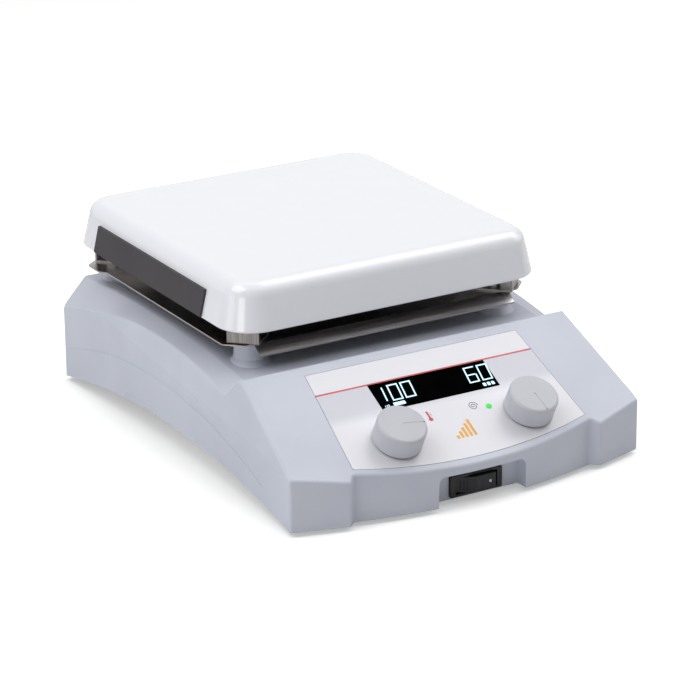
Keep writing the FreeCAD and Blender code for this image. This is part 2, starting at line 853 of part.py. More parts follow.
def switch_rocker():
    """Rocker on a vertical axis; at rest its left end is pressed in."""
    mid = switch_middle()
    axis_y = recess_back_y - switch_bezel + rocker_axis_depth
    crest = -rocker_axis_depth - rocker_crest
    end = crest + rocker_fall
    half = rocker_half_length
    side = [(-half, end), (0, crest), (half, end), (half, -1.2), (2.4, 1.6), (-2.4, 1.6), (-half, -1.2)]
    body = prism([(x, y, 0) for x, y in side], (0, 0, rocker_height))
    def crest_edge(c, e):
        return abs(c.x) < 0.01 and c.y < crest + 0.01
    body = fillet_at(body, 0.8, crest_edge)
    body.translate(Vector(0, 0, -rocker_height / 2))
    for i in range(3):
        x = half * (0.42 + 0.16 * i)
        y = crest + rocker_fall * x / half
        groove = Part.makeCylinder(0.35, rocker_height - 2.4, Vector(-x, y - 0.1, 1.2 - rocker_height / 2))
        body = body.cut(groove)
    pin = rocker_height / 2 + rocker_pin_length
    body = body.fuse(Part.makeCylinder(rocker_pin_diameter / 2, 2 * pin, Vector(0, 0, -pin)))
    body.rotate(Vector(0, 0, 0), Vector(0, 0, 1), -rocker_travel / 2)
    body.translate(Vector(0, axis_y, mid))
    return body


def switch_terminals():
    back = recess_back_y + switch_body_depth
    mid = switch_middle()
    blades = [box(x - 0.4, back, mid - 2.4, x + 0.4, back + 8, mid + 2.4) for x in (-9, -3, 3, 9)]
    return Part.makeCompound(blades)


def chamfered_opening(half_w, half_h, corner, y0, y1):
    """Inlet opening, its two upper corners cut off, about the inlet's centre."""
    side = [(-half_w, -half_h), (half_w, -half_h), (half_w, half_h - corner)]
    side += [(half_w - corner, half_h), (corner - half_w, half_h), (-half_w, half_h - corner)]
    return prism([(inlet_x + x, y0, inlet_z + z) for x, z in side], (0, y1 - y0, 0))


def power_inlet():
    face = housing_length + inlet_flange_thickness
    half_w, half_h = inlet_flange_width / 2, inlet_flange_height / 2
    flange = box(inlet_x - half_w, housing_length, inlet_z - half_h, inlet_x + half_w, face, inlet_z + half_h)
    flange = fillet_at(flange, 2.0, lambda c, e: abs(c.y - (housing_length + face) / 2) < 0.01)
    half_w, half_h = inlet_body_width / 2, inlet_body_height / 2
    body = box(inlet_x - half_w, face - inlet_body_depth, inlet_z - half_h,
               inlet_x + half_w, housing_length, inlet_z + half_h)
    socket = chamfered_opening(inlet_socket_width / 2, inlet_socket_height / 2, inlet_corner,
                               face - inlet_socket_depth, face + 1)
    whole = flange.fuse(body).cut(socket)
    return whole.cut(Part.makeCompound(pin_boxes(0.0)))


def pin_boxes(grow):
    face = housing_length + inlet_flange_thickness
    back = face - inlet_socket_depth
    pins = []
    for dx, dz in ((-pin_pitch, 0), (0, earth_pin_rise), (pin_pitch, 0)):
        x, z = inlet_x + dx, inlet_z + dz - 1.0
        pins.append(box(x - pin_width / 2 - grow, back - inlet_body_depth + inlet_socket_depth - pin_tail,
                        z - pin_height / 2 - grow, x + pin_width / 2 + grow, back + pin_length,
                        z + pin_height / 2 + grow))
    return pins


def inlet_pins():
    return Part.makeCompound(pin_boxes(0.0))


def plate_shell(size_inset, z0, z1, draft_from):
    """Rounded square whose sides lean in with height."""
    lean = math.tan(math.radians(plate_draft))
    wires = []
    for z in (z0, z1):
        inset = size_inset + lean * (z - draft_from)
        half, radius = plate_half - inset, plate_corner_radius - inset
        wires.append(rounded_rect(half, half, radius, z, plate_centre_y))
    return Part.makeLoft(wires, True, True)


def top_plate():
    body = plate_shell(0, plate_rim_height, plate_top_height, plate_rim_height)
    body = fillet_at(body, plate_edge_radius, lambda c, e: c.z > plate_top_height - 0.1)
    body = fillet_at(body, rim_round, lambda c, e: c.z < plate_rim_height + 0.1)
    hollow = plate_shell(plate_wall, plate_rim_height - 1, plate_underside, plate_rim_height)
    return body.cut(hollow)


def side_strip():
    """Flat strip that lies on the left side of the skirt."""
    lean = math.tan(math.radians(plate_draft))
    def skirt_x(z):
        return -(plate_half - lean * (z - plate_rim_height))
    t = strip_thickness
    low = plate_rim_height + strip_lift
    high = low + strip_height
    front, rear = plate_centre_y - strip_front_reach, plate_centre_y + strip_rear_reach
    side = [(skirt_x(low), low), (skirt_x(high), high), (skirt_x(high) - t, high), (skirt_x(low) - t, low)]
    return prism([(x, front, z) for x, z in side], (0, rear - front, 0))


def stud_places():
    return [(sx * (boss_x - stud_inset), plate_centre_y + sy * (boss_dy - stud_inset))
            for sx in (-1, 1) for sy in (-1, 1)]


def coil_ends():
    """Places of the heater's two leads."""
    y = plate_centre_y + (coil_runs - 1) / 2 * coil_pitch
    x = coil_half_run + coil_tail - coil_width / 2
    far = x if coil_runs % 2 else -x
    return [(-x, 2 * plate_centre_y - y), (far, y)]


def coil_turn(x, y, z0, z1, side):
    """Half ring that joins one run to the next, at the runs' left or right end."""
    middle = y + coil_pitch / 2
    ring = rod(x, middle, z0, z1, coil_pitch + coil_width)
    ring = ring.cut(rod(x, middle, z0 - 1, z1 + 1, coil_pitch - coil_width))
    left, right = sorted((x, x + side * coil_pitch))
    return ring.common(box(left, middle - coil_pitch, z0, right, middle + coil_pitch, z1))


def heater_coil():
    """Flat-sided sheathed heater folded back and forth, with a round lead at each end."""
    high = plate_underside - heater_gap
    low = high - coil_height
    half = coil_width / 2
    ends = coil_ends()
    parts = [rod(x, y, low - lead_drop, low, lead_diameter) for x, y in ends]
    for i in range(coil_runs):
        y = ends[0][1] + i * coil_pitch
        near, far = -coil_half_run, coil_half_run
        if i == 0:
            near -= coil_tail
        if i == coil_runs - 1 and ends[1][0] < 0:
            near -= coil_tail
        elif i == coil_runs - 1:
            far += coil_tail
        else:
            side = 1 if i % 2 == 0 else -1
            parts.append(coil_turn(side * coil_half_run, y, low, high, side))
        parts.append(box(near, y - half, low, far, y + half, high))
    return fuse_all(parts)


def stud_holes(grow):
    return [rod(x, y, shield_top, plate_underside, stud_diameter + grow) for x, y in stud_places()]


def lead_holes(grow):
    return [rod(x, y, shield_top, plate_underside, lead_diameter + grow) for x, y in coil_ends()]


def insulation_pad():
    low = pan_bottom + pan_sheet
    half = pan_half - pan_sheet - 0.6
    pad = slab(half, half, pan_corner_radius, low, low + pad_thickness, plate_centre_y)
    return pad.cut(Part.makeCompound(stud_holes(0.6) + lead_holes(0.6)))


def heater_pan():
    low = pan_bottom
    rim = plate_underside - heater_gap
    body = slab(pan_half, pan_half, pan_corner_radius, low, rim, plate_centre_y)
    inner = pan_half - pan_sheet
    body = body.cut(slab(inner, inner, pan_corner_radius - pan_sheet, low + pan_sheet, rim + 1, plate_centre_y))
    outer = pan_half + pan_flange
    flange = slab(outer, outer, pan_corner_radius + pan_flange, rim - pan_sheet, rim, plate_centre_y)
    flange = flange.cut(slab(inner, inner, pan_corner_radius - pan_sheet, rim - 2, rim + 1, plate_centre_y))
    return body.fuse(flange).cut(Part.makeCompound(stud_holes(0.8) + lead_holes(0.8)))


def temperature_probe():
    y = plate_centre_y
    z = plate_underside - heater_gap - probe_diameter / 2
    tip = Part.makeCylinder(probe_diameter / 2, probe_length, Vector(-probe_length / 2, y, z), Vector(1, 0, 0))
    half = probe_clip_half
    clip = box(-half, y - half, z - probe_diameter / 2 - probe_clip_wall, half, y + half, z + probe_diameter / 2)
    return tip.fuse(clip)


def plate_studs():
    low = pan_bottom - bracket_sheet - stud_end
    return Part.makeCompound([rod(x, y, low, plate_underside, stud_diameter) for x, y in stud_places()])


def plate_nuts():
    nuts = []
    top = pan_bottom - bracket_sheet
    for cx, cy in stud_places():
        r, h = stud_diameter, plate_nut_height
        pts = [(cx + r * math.cos(math.radians(60 * i)), cy + r * math.sin(math.radians(60 * i)), top - h)
               for i in range(6)]
        nuts.append(prism(pts, (0, 0, h)).cut(rod(cx, cy, top - 2 * h, top + h, stud_diameter)))
    return Part.makeCompound(nuts)


def corner_bracket(x, y, sx, sy):
    """C-shaped sheet bracket on one deck boss, drawn along +x and turned to the corner."""
    low, high = shield_top, pan_bottom
    t = bracket_sheet
    w = bracket_width / 2
    reach = bracket_leg_reach
    side = [(-bracket_foot_back, low), (reach, low), (reach, high), (-bracket_inner_reach, high)]
    side += [(-bracket_inner_reach, high - t), (reach - t, high - t), (reach - t, low + t)]
    side += [(-bracket_foot_back, low + t)]
    sheet = prism([(u, -w, z) for u, z in side], (0, 2 * w, 0))
    def outer_bend(c, e):
        return abs(c.x - reach) < 0.01 and abs(c.y) < 0.01
    sheet = fillet_at(sheet, t, outer_bend)
    sheet.rotate(Vector(0, 0, 0), Vector(0, 0, 1), math.degrees(math.atan2(sy, sx)))
    sheet.translate(Vector(x, y, 0))
    cut = [rod(x, y, low - 1, low + t + 1, post_screw_diameter + 0.4)]
    cut.append(rod(x - sx * stud_inset, y - sy * stud_inset, high - t - 1, high + 1, stud_diameter + 0.4))
    return sheet.cut(Part.makeCompound(cut))


def bracket_screws():
    screws = []
    top = shield_top + bracket_sheet
    for x, y, _, _ in post_places():
        head = rod(x, y, top, top + 0.6 * screw_head_height, screw_head_diameter)
        dome = Part.makeCone(screw_head_diameter / 2, 0.3 * screw_head_diameter, 0.4 * screw_head_height,
                             Vector(x, y, top + 0.6 * screw_head_height))
        head = head.fuse(dome)
        shank = rod(x, y, shield_underside - post_screw_length, top, post_screw_diameter)
        screws.append(head.fuse(shank))
    return Part.makeCompound(screws)


def shield_outline():
    """Half outline of the flat sheet, for the left side, front to rear."""
    cy, w, c = plate_centre_y, shield_half_width, shield_corner_cut
    front, rear = cy - shield_front_dy, cy + shield_rear_dy
    pts = [(-shield_lip_half, front), (-w + c, front), (-w, front + c)]
    pts += [(-w, rear - c - shield_ear_length), (-w - shield_ear_reach, rear - c - shield_ear_length + 4)]
    pts += [(-w - shield_ear_reach, rear - c), (-w + c, rear), (-shield_lip_half, rear)]
    return pts


def heat_shield():
    left = shield_outline()
    pts = left + [(-x, y) for x, y in reversed(left)]
    z = shield_underside
    sheet = prism([(x, y, z) for x, y in pts], (0, 0, shield_sheet))
    def side_corner(c, e):
        upright = abs(e.tangentAt(e.FirstParameter).z) > 0.5
        return upright and abs(c.x) > shield_lip_half + 1
    sheet = fillet_at(sheet, shield_corner_radius, side_corner)
    parts = [sheet]
    run, drop, t = shield_lip_run, shield_lip_drop, shield_sheet
    half = shield_lip_half
    for sign, edge in ((-1, plate_centre_y - shield_front_dy), (1, plate_centre_y + shield_rear_dy)):
        far = edge + sign * run
        lip = [(edge, z + t), (far, z + t - drop), (far, z - drop), (edge, z)]
        parts.append(prism([(-half, y, h) for y, h in lip], (2 * half, 0, 0)))
    sheet = fuse_all(parts)
    low, high = deck_height, plate_rim_height
    cut = [rod(0, plate_centre_y, low, high, shield_hole_diameter)]
    cut += [rod(x, y, low, high, post_screw_diameter + 0.4) for x, y, _, _ in post_places()]
    return sheet.cut(Part.makeCompound(cut))


def motor_bracket():
    z = motor_top
    half = mount_plate_half
    plate = slab(half, half, 5, z, z + mount_plate_sheet, plate_centre_y)
    cut = [rod(0, plate_centre_y, z - 1, z + 5, bearing_diameter + 1)]
    for sx in (-1, 1):
        for sy in (-1, 1):
            x, y = sx * motor_mount_half, plate_centre_y + sy * motor_mount_half
            cut.append(rod(x, y, z - 1, z + 5, base_screw_diameter + 0.4))
    return plate.cut(Part.makeCompound(cut))


def motor_screws():
    screws = []
    for sx in (-1, 1):
        for sy in (-1, 1):
            x, y = sx * motor_mount_half, plate_centre_y + sy * motor_mount_half
            head = rod(x, y, motor_top - screw_head_height, motor_top, screw_head_diameter - 1)
            high = motor_top + mount_plate_sheet + motor_screw_length
            shank = rod(x, y, motor_top, high, base_screw_diameter - 0.1)
            screws.append(head.fuse(shank))
    return Part.makeCompound(screws)


def motor_can():
    cy = plate_centre_y
    low = motor_top - motor_height
    can = rod(0, cy, low, motor_top, motor_diameter)
    can = can.cut(rod(0, cy, low + motor_wall, motor_top - motor_wall, motor_diameter - 2 * motor_wall))
    for z0, z1 in ((low, low + bearing_height), (motor_top - bearing_height, motor_top)):
        can = can.fuse(rod(0, cy, z0, z1, bearing_diameter + 2 * motor_wall))
        can = can.cut(rod(0, cy, z0 - 1, z1 + 1, bearing_diameter))
    return can


def motor_bearings():
    cy = plate_centre_y
    low = motor_top - motor_height
    rings = []
    for z in (low, motor_top - bearing_height):
        ring = rod(0, cy, z, z + bearing_height, bearing_diameter)
        rings.append(ring.cut(rod(0, cy, z - 1, z + bearing_height + 1, shaft_diameter + 2 * shaft_running_gap)))
    return Part.makeCompound(rings)


def motor_stator():
    cy = plate_centre_y
    mid = motor_top - motor_height / 2
    z0, z1 = mid - stator_height / 2, mid + stator_height / 2
    outer = motor_diameter - 2 * motor_wall
    ring = rod(0, cy, z0, z1, outer).cut(rod(0, cy, z0 - 1, z1 + 1, stator_bore))
    slots = []
    for i in range(stator_slots):
        slot = box(stator_bore / 2 - 1, -1.4, z0 - 1, outer / 2 - 2.5, 1.4, z1 + 1)
        slot.rotate(Vector(0, 0, 0), Vector(0, 0, 1), 360 / stator_slots * i)
        slot.translate(Vector(0, cy, 0))
        slots.append(slot)
    return ring.cut(Part.makeCompound(slots))


def motor_rotor():
    cy = plate_centre_y
    mid = motor_top - motor_height / 2
    z0, z1 = mid - rotor_height / 2, mid + rotor_height / 2
    drum = rod(0, cy, z0, z1, stator_bore - 2 * motor_air_gap)
    return drum.cut(rod(0, cy, z0 - 1, z1 + 1, shaft_diameter))


def carrier_base():
    return shield_top + carrier_lift


def motor_shaft():
    low = motor_top - motor_height + 0.5
    return rod(0, plate_centre_y, low, carrier_base() + shaft_into_carrier, shaft_diameter)


def magnet_carrier():
    cy = plate_centre_y
    low, high = carrier_base(), carrier_base() + carrier_height
    half = carrier_length / 2
    bar = slab(half, carrier_width / 2, carrier_width / 2 - 0.05, low, high, cy)
    cut = [rod(0, cy, low - 1, low + shaft_into_carrier, shaft_diameter)]
    for x in (-magnet_offset, magnet_offset):
        cut.append(rod(x, cy, high - magnet_height, high + 1, magnet_diameter))
    return bar.cut(Part.makeCompound(cut))


def magnets():
    high = carrier_base() + carrier_height
    return Part.makeCompound([rod(x, plate_centre_y, high - magnet_height, high, magnet_diameter)
                              for x in (-magnet_offset, magnet_offset)])


def power_board_top():
    return base_height + base_sheet + standoff_height + board_thickness


def power_board():
    top = power_board_top()
    return box(power_board_x0, power_board_y0, top - board_thickness, power_board_x1, power_board_y1, top)


def board_standoffs():
    low = base_height + base_sheet
    posts = []
    for x in (power_board_x0 + standoff_inset, power_board_x1 - standoff_inset):
        for y in (power_board_y0 + standoff_inset, power_board_y1 - standoff_inset):
            posts.append(rod(x, y, low, low + standoff_height, standoff_diameter))
    return Part.makeCompound(posts)


def transformer():
    """Laminated core with a wound bobbin through it."""
    top = power_board_top()
    x0, y0 = power_board_x0 + transformer_side, power_board_y0 + transformer_front
    w, l, h, inset = transformer_width, transformer_length, transformer_height, bobbin_inset
    core = box(x0, y0 + 0.25 * l, top, x0 + w, y0 + 0.75 * l, top + h)
    bobbin = box(x0 + inset, y0, top, x0 + w - inset, y0 + l, top + h - inset)
    return core.fuse(bobbin)


def capacitors():
    top = power_board_top()
    cans = []
    for i in range(2):
        x = power_board_x0 + capacitor_side + i * capacitor_pitch
        y = power_board_y0 + capacitor_front
        cans.append(rod(x, y, top, top + capacitor_height, capacitor_diameter))
    return Part.makeCompound(cans)


def heatsink():
    top = power_board_top()
    x0 = power_board_x0 + heatsink_side
    y0 = power_board_y1 - heatsink_length - heatsink_rear
    body = box(x0, y0, top, x0 + heatsink_width, y0 + heatsink_length, top + heatsink_base)
    parts = [body]
    step = (heatsink_width - fin_thickness) / (fin_count - 1)
    for i in range(fin_count):
        x = x0 + i * step
        parts.append(box(x, y0, top, x + fin_thickness, y0 + heatsink_length, top + heatsink_height))
    return fuse_all(parts)


def relay():
    top = power_board_top()
    x0, y0 = power_board_x1 - relay_width - relay_side, power_board_y0 + relay_front
    return box(x0, y0, top, x0 + relay_width, y0 + relay_length, top + relay_height)


def all_nodes():
    nodes = {
        "housing_shell": housing_shell(),
        "base_plate": base_plate(),
        "base_screws": base_screws(),
        "control_overlay": control_overlay(),
        "display_window": display_window(),
        "display_module": display_module(),
        "status_light": status_light(),
        "control_board": control_board(),
        "encoder_nuts": Part.makeCompound([encoder_nut(temp_knob_x), encoder_nut(speed_knob_x)]),
        "switch_frame": switch_frame(),
        "switch_rocker": switch_rocker(),
        "switch_terminals": switch_terminals(),
        "power_inlet": power_inlet(),
        "inlet_pins": inlet_pins(),
        "top_plate": top_plate(),
        "side_strip": side_strip(),
        "heater_coil": heater_coil(),
        "insulation_pad": insulation_pad(),
        "heater_pan": heater_pan(),
        "temperature_probe": temperature_probe(),
        "plate_studs": plate_studs(),
        "plate_nuts": plate_nuts(),
        "bracket_screws": bracket_screws(),
        "heat_shield": heat_shield(),
        "motor_bracket": motor_bracket(),
        "motor_screws": motor_screws(),
        "motor_can": motor_can(),
        "motor_bearings": motor_bearings(),
        "motor_stator": motor_stator(),
        "motor_rotor": motor_rotor(),
        "motor_shaft": motor_shaft(),
        "magnet_carrier": magnet_carrier(),
        "magnets": magnets(),
        "power_board": power_board(),
        "board_standoffs": board_standoffs(),
        "transformer": transformer(),
        "capacitors": capacitors(),
        "heatsink": heatsink(),
        "relay": relay(),
    }
    knobs = (("temp", temp_knob_x, temp_groove_angle), ("speed", speed_knob_x, speed_groove_angle))
    for name, x, turned in knobs:
        nodes[name + "_encoder"] = encoder_body(x)
        nodes[name + "_rotor"] = encoder_rotor(x)
        nodes[name + "_shaft"] = knob_shaft(x)
        nodes[name + "_knob"] = knob(x, turned)
    for x, y, sx, sy in post_places():
        name = ("front" if sy < 0 else "rear") + ("_left" if sx < 0 else "_right")
        nodes[name + "_bracket"] = corner_bracket(x, y, sx, sy)
    for sx, side in ((-1, "left"), (1, "right")):
        nodes["front_" + side + "_foot"] = foot(sx * column_x, column_front_y)
        nodes["rear_" + side + "_foot"] = foot(sx * column_x, column_rear_y)
    return nodes


os.makedirs("parts", exist_ok=True)
for node, shape in all_nodes().items():
    placed = shape.copy()
    placed.translate(origin_shift)
    placed.exportStep("parts/" + node + ".step")
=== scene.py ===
# %% [markdown]
# # A hotplate stirrer, dressed for its picture
# The engineering model already has every piece at its real size. This lesson lays a finish on each
# piece, adds the small things that are printed, lit or cut into it, and sets it on a pale table.
# The first cell loads the model. Its pieces are called nodes, and each rides on a moving body.

# %% Load the model and measure its box
import json
import math

import bpy
from mathutils import Matrix, Vector


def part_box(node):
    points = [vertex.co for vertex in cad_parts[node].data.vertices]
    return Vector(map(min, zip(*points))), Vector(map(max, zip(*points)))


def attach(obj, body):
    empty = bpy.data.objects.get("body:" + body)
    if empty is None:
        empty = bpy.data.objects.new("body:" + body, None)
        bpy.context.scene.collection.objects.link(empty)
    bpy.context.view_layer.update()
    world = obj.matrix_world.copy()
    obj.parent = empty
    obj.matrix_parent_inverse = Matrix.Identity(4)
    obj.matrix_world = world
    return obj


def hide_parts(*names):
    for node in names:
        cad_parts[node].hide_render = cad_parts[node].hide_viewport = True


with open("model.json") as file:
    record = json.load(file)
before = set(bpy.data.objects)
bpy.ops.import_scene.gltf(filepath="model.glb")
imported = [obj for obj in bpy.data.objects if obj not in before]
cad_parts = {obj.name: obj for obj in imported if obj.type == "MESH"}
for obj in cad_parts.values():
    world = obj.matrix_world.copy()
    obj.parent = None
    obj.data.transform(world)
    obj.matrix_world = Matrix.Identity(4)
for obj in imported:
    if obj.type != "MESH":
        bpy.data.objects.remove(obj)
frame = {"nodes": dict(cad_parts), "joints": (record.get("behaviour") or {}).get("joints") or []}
nodes = frame["nodes"]
joints = {joint["name"]: joint for joint in frame["joints"]}


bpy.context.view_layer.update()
MM = 0.001

# %% [markdown]
# ## The camera
# A long lens from the left, a little above the sloping control face, gives the picture's calm
# perspective. The camera's own axes are worked out from its compass angle, its height angle and a very
# small tilt, and its place is a distance back along them. A camera could also be aimed with a
# constraint, but plain numbers keep the view the same on every run.

# %% Place the camera
PICTURE_SIDE = 700
FOCAL_PIXELS = 3111.91
SENSOR_WIDTH = 36.0
VIEW_TURN = math.radians(-30.59)
VIEW_HEIGHT = math.radians(20.63)
VIEW_TILT = math.radians(-0.41)
VIEW_DISTANCE, VIEW_ACROSS, VIEW_UP = 1.66973, -0.06388, 0.07501
VIEW_ORIGIN = Vector((0.0, -0.12985, 0.0025))

back = Vector((math.sin(VIEW_TURN) * math.cos(VIEW_HEIGHT),
               -math.cos(VIEW_TURN) * math.cos(VIEW_HEIGHT), math.sin(VIEW_HEIGHT)))
level = Vector((math.cos(VIEW_TURN), math.sin(VIEW_TURN), 0.0))
upward = back.cross(level)
across = level * math.cos(VIEW_TILT) + upward * math.sin(VIEW_TILT)
upward = upward * math.cos(VIEW_TILT) - level * math.sin(VIEW_TILT)

camera_data = bpy.data.cameras.new("camera")
camera_data.lens = FOCAL_PIXELS / PICTURE_SIDE * SENSOR_WIDTH
camera_data.sensor_width = SENSOR_WIDTH
camera_data.sensor_fit = "HORIZONTAL"
camera_data.dof.use_dof = False
camera = bpy.data.objects.new("camera", camera_data)
bpy.context.scene.collection.objects.link(camera)
turn = Matrix((across, upward, back)).transposed().to_4x4()
place = VIEW_ORIGIN + back * VIEW_DISTANCE + across * VIEW_ACROSS + upward * VIEW_UP
camera.matrix_world = Matrix.Translation(place) @ turn
bpy.context.scene.camera = camera
print("lens", round(camera_data.lens, 2), "mm")

# %% [markdown]
# ## Colours and nodes
# Colours are easiest to read as the hex codes of a paint chart, but light adds up in linear numbers,
# so one function turns the first into the second. A second small function adds a node to a material,
# sets it and joins it up, which keeps each material short enough to read as a recipe.

# %% Two small helpers for every finish


def paint(code):
    """A hex colour such as C9CCD6 as the linear colour that shaders use, by the sRGB curve."""
    parts = [int(code[i:i + 2], 16) / 255 for i in (0, 2, 4)]
    return tuple(c / 12.92 if c <= 0.04045 else ((c + 0.055) / 1.055) ** 2.4 for c in parts) + (1.0,)


def add(tree, kind, settings=(), links=()):
    """Add one node. A text key names a property or a socket, and a number is a socket's place."""
    node = tree.nodes.new("ShaderNode" + kind)
    for key, value in dict(settings).items():
        if isinstance(key, int) or key in node.inputs:
            node.inputs[key].default_value = value
        else:
            setattr(node, key, value)
    for key, source in dict(links).items():
        tree.links.new(source, node.inputs[key])
    return node


def new_finish(name, colour, roughness, metallic=0.0, ior=1.5):
    """A material with one shader, and the piece's own coordinates to draw patterns on."""
    material = bpy.data.materials.new(name)
    material.use_nodes = True
    material.diffuse_color = paint(colour)
    tree = material.node_tree
    shader = tree.nodes["Principled BSDF"]
    shader.inputs["Base Color"].default_value = paint(colour)
    shader.inputs["Roughness"].default_value = roughness
    shader.inputs["Metallic"].default_value = metallic
    if metallic == 0.0:
        shader.inputs["IOR"].default_value = ior
    print("finish", name, "roughness", roughness)
    return material, tree, shader, add(tree, "TexCoord").outputs["Object"]


def per_mm(size):
    """The scale that makes a pattern's features this many millimetres across."""
    return 1.0 / MM / size


# %% [markdown]
# ## The table and the light
# The picture has no horizon: the table is so pale that it ends in white, and only a soft grey shadow
# shows where the housing stands. A backdrop could be curved up behind, but a wide flat floor is
# enough for a view from above. For the camera alone the floor glows a little, so that it ends in white
# without any more light falling on the object.

# %% Lay the floor
FLOOR_SIDE, FLOOR_BELOW = 9.0, 0.1 * MM
FLOOR_COLOUR = "F4F4F3"
FLOOR_GLOW = 0.38

bpy.ops.object.select_all(action="DESELECT")
bpy.ops.mesh.primitive_plane_add(size=FLOOR_SIDE, location=(0.0, 0.0, -FLOOR_BELOW))
floor = bpy.context.object
floor.name = "table"
table_paper, tree, shader, spot = new_finish("matt_table_paper", FLOOR_COLOUR, 0.9)
shader.inputs["Specular IOR Level"].default_value = 0.0
glow = add(tree, "Emission", {"Color": paint("FFFFFF"), "Strength": FLOOR_GLOW})
dark = add(tree, "Emission", {"Strength": 0.0})
to_camera = add(tree, "LightPath").outputs["Is Camera Ray"]
seen = add(tree, "MixShader", {}, {0: to_camera, 1: dark.outputs[0], 2: glow.outputs[0]})
both = add(tree, "AddShader", {}, {0: shader.outputs[0], 1: seen.outputs[0]})
tree.links.new(both.outputs[0], tree.nodes["Material Output"].inputs["Surface"])
floor.data.materials.append(table_paper)

# %% [markdown]
# The picture was lit from above by broad soft boxes, with the pale table throwing light back at the
# sides. So most of the light here comes from large lamps overhead, one lamp at each side lifts the
# flanks, a low pair fills the left side and the front, and the room itself adds very little. That
# leaves the shoulders dark where the heated top stands in the way of the light. In a reflection the
# room still looks white.

# %% Light the room
ROOM_LIGHT = 0.09
LAMP_AIM = Vector((0.0, 0.0, 0.05))
LAMPS = (
    ("roof_lamp", (0.0, 0.1, 1.6), 2.2, 14.0),
    ("roof_right_lamp", (1.0, 0.1, 1.3), 1.0, 6.6),
    ("roof_left_lamp", (-1.0, 0.1, 1.3), 1.0, 9.3),
    ("roof_front_lamp", (0.7, -0.6, 1.4), 1.0, 1.5),
    ("right_lamp", (1.4, -0.2, 0.8), 0.8, 3.2),
    ("left_lamp", (-1.6, 0.0, 0.45), 1.0, 0.6),
    ("low_left_lamp", (-1.4, 0.1, 0.14), 0.5, 0.8),
    ("low_front_lamp", (-1.2, -0.7, 0.14), 0.5, 2.6),
)

world = bpy.data.worlds.new("light_tent")
world.use_nodes = True
tree = world.node_tree
backdrop = tree.nodes["Background"]
backdrop.inputs["Color"].default_value = paint("FFFFFF")
rays = add(tree, "LightPath").outputs
seen = rays["Is Camera Ray"]
for kind in ("Is Glossy Ray", "Is Transmission Ray"):
    seen = add(tree, "Math", {"operation": "MAXIMUM"}, {0: seen, 1: rays[kind]}).outputs[0]
strength = add(tree, "MapRange", {"To Min": ROOM_LIGHT, "To Max": 1.0}, {"Value": seen})
tree.links.new(strength.outputs[0], backdrop.inputs["Strength"])
bpy.context.scene.world = world

for name, where, side, power in LAMPS:
    lamp_data = bpy.data.lights.new(name, "AREA")
    lamp_data.shape = "SQUARE"
    lamp_data.size = side
    lamp_data.energy = power
    lamp = bpy.data.objects.new(name, lamp_data)
    bpy.context.scene.collection.objects.link(lamp)
    lamp.location = where
    lamp.rotation_euler = (LAMP_AIM - Vector(where)).to_track_quat("-Z", "Y").to_euler()
bpy.context.scene.view_settings.view_transform = "Standard"
print("lamps", len(LAMPS))

# %% [markdown]
# ## Powder-coated aluminium
# The housing is cast aluminium under a baked powder coat. The powder melts into a skin that is never
# quite flat: it has a shallow, rounded texture a little under a millimetre across, called orange
# peel, which softens the light along each edge. A noise texture draws it, a bump node turns it into
# slope, and a much larger noise shifts the shade by a hair, as thick and thin coats do.

# %% Mix the powder coat
HOUSING_COLOUR, THIN_COAT, THICK_COAT = "C6CAD7", "C3C7D4", "C9CDD9"
EVEN = (1.0, 1.0, 1.0)
PEEL_MM, PEEL_DEPTH_MM, CLOUD_MM = 0.9, 0.018, 45.0
COAT_SHEEN = (0.38, 0.52)


def grain(tree, shader, spot, size_mm, depth_mm, strength=1.0, stretch=EVEN, detail=3.0):
    """Slope from a noise of this size and depth, drawn out by the stretch."""
    drawn = add(tree, "Mapping", {"Scale": stretch}, {"Vector": spot})
    noise = add(tree, "TexNoise", {"Scale": per_mm(size_mm), "Detail": detail},
                {"Vector": drawn.outputs[0]})
    bump = add(tree, "Bump", {"Strength": strength, "Distance": depth_mm * MM},
               {"Height": noise.outputs[0]})
    tree.links.new(bump.outputs[0], shader.inputs["Normal"])
    return noise.outputs[0]


def vary(tree, shader, tone, first, second, sheen=None, gloss=None, band=(0.35, 0.65)):
    """Move the colour between two paints with one pattern, and the roughness with it or with another."""
    ramp = add(tree, "ValToRGB", {}, {"Fac": tone})
    for stop, position, colour in zip(ramp.color_ramp.elements, band, (first, second)):
        stop.position, stop.color = position, paint(colour)
    tree.links.new(ramp.outputs["Color"], shader.inputs["Base Color"])
    if sheen:
        limits = {"To Min": sheen[0], "To Max": sheen[1]}
        spread = add(tree, "MapRange", limits, {"Value": gloss or tone})
        tree.links.new(spread.outputs[0], shader.inputs["Roughness"])


powder_coat, tree, shader, spot = new_finish("powder_coated_aluminium", HOUSING_COLOUR, 0.45)
peel = grain(tree, shader, spot, PEEL_MM, PEEL_DEPTH_MM)
cloud = add(tree, "TexNoise", {"Scale": per_mm(CLOUD_MM), "Detail": 2.0}, {"Vector": spot})
vary(tree, shader, cloud.outputs[0], THIN_COAT, THICK_COAT, COAT_SHEEN, peel)

# %% [markdown]
# ## Printed polyester film
# The control face is one sheet of polyester film, printed on its back and stuck into a shallow bed. Its
# fine satin grain hides fingerprints. The print has straight edges, so it is drawn with a ruler: the
# distance up the slope picks the colour. White lies at the bottom and the top, a grey band that fades
# in from below carries the display, and a thin red line closes it. The slope's direction comes from
# the knob's own axis, which stands square on the film.

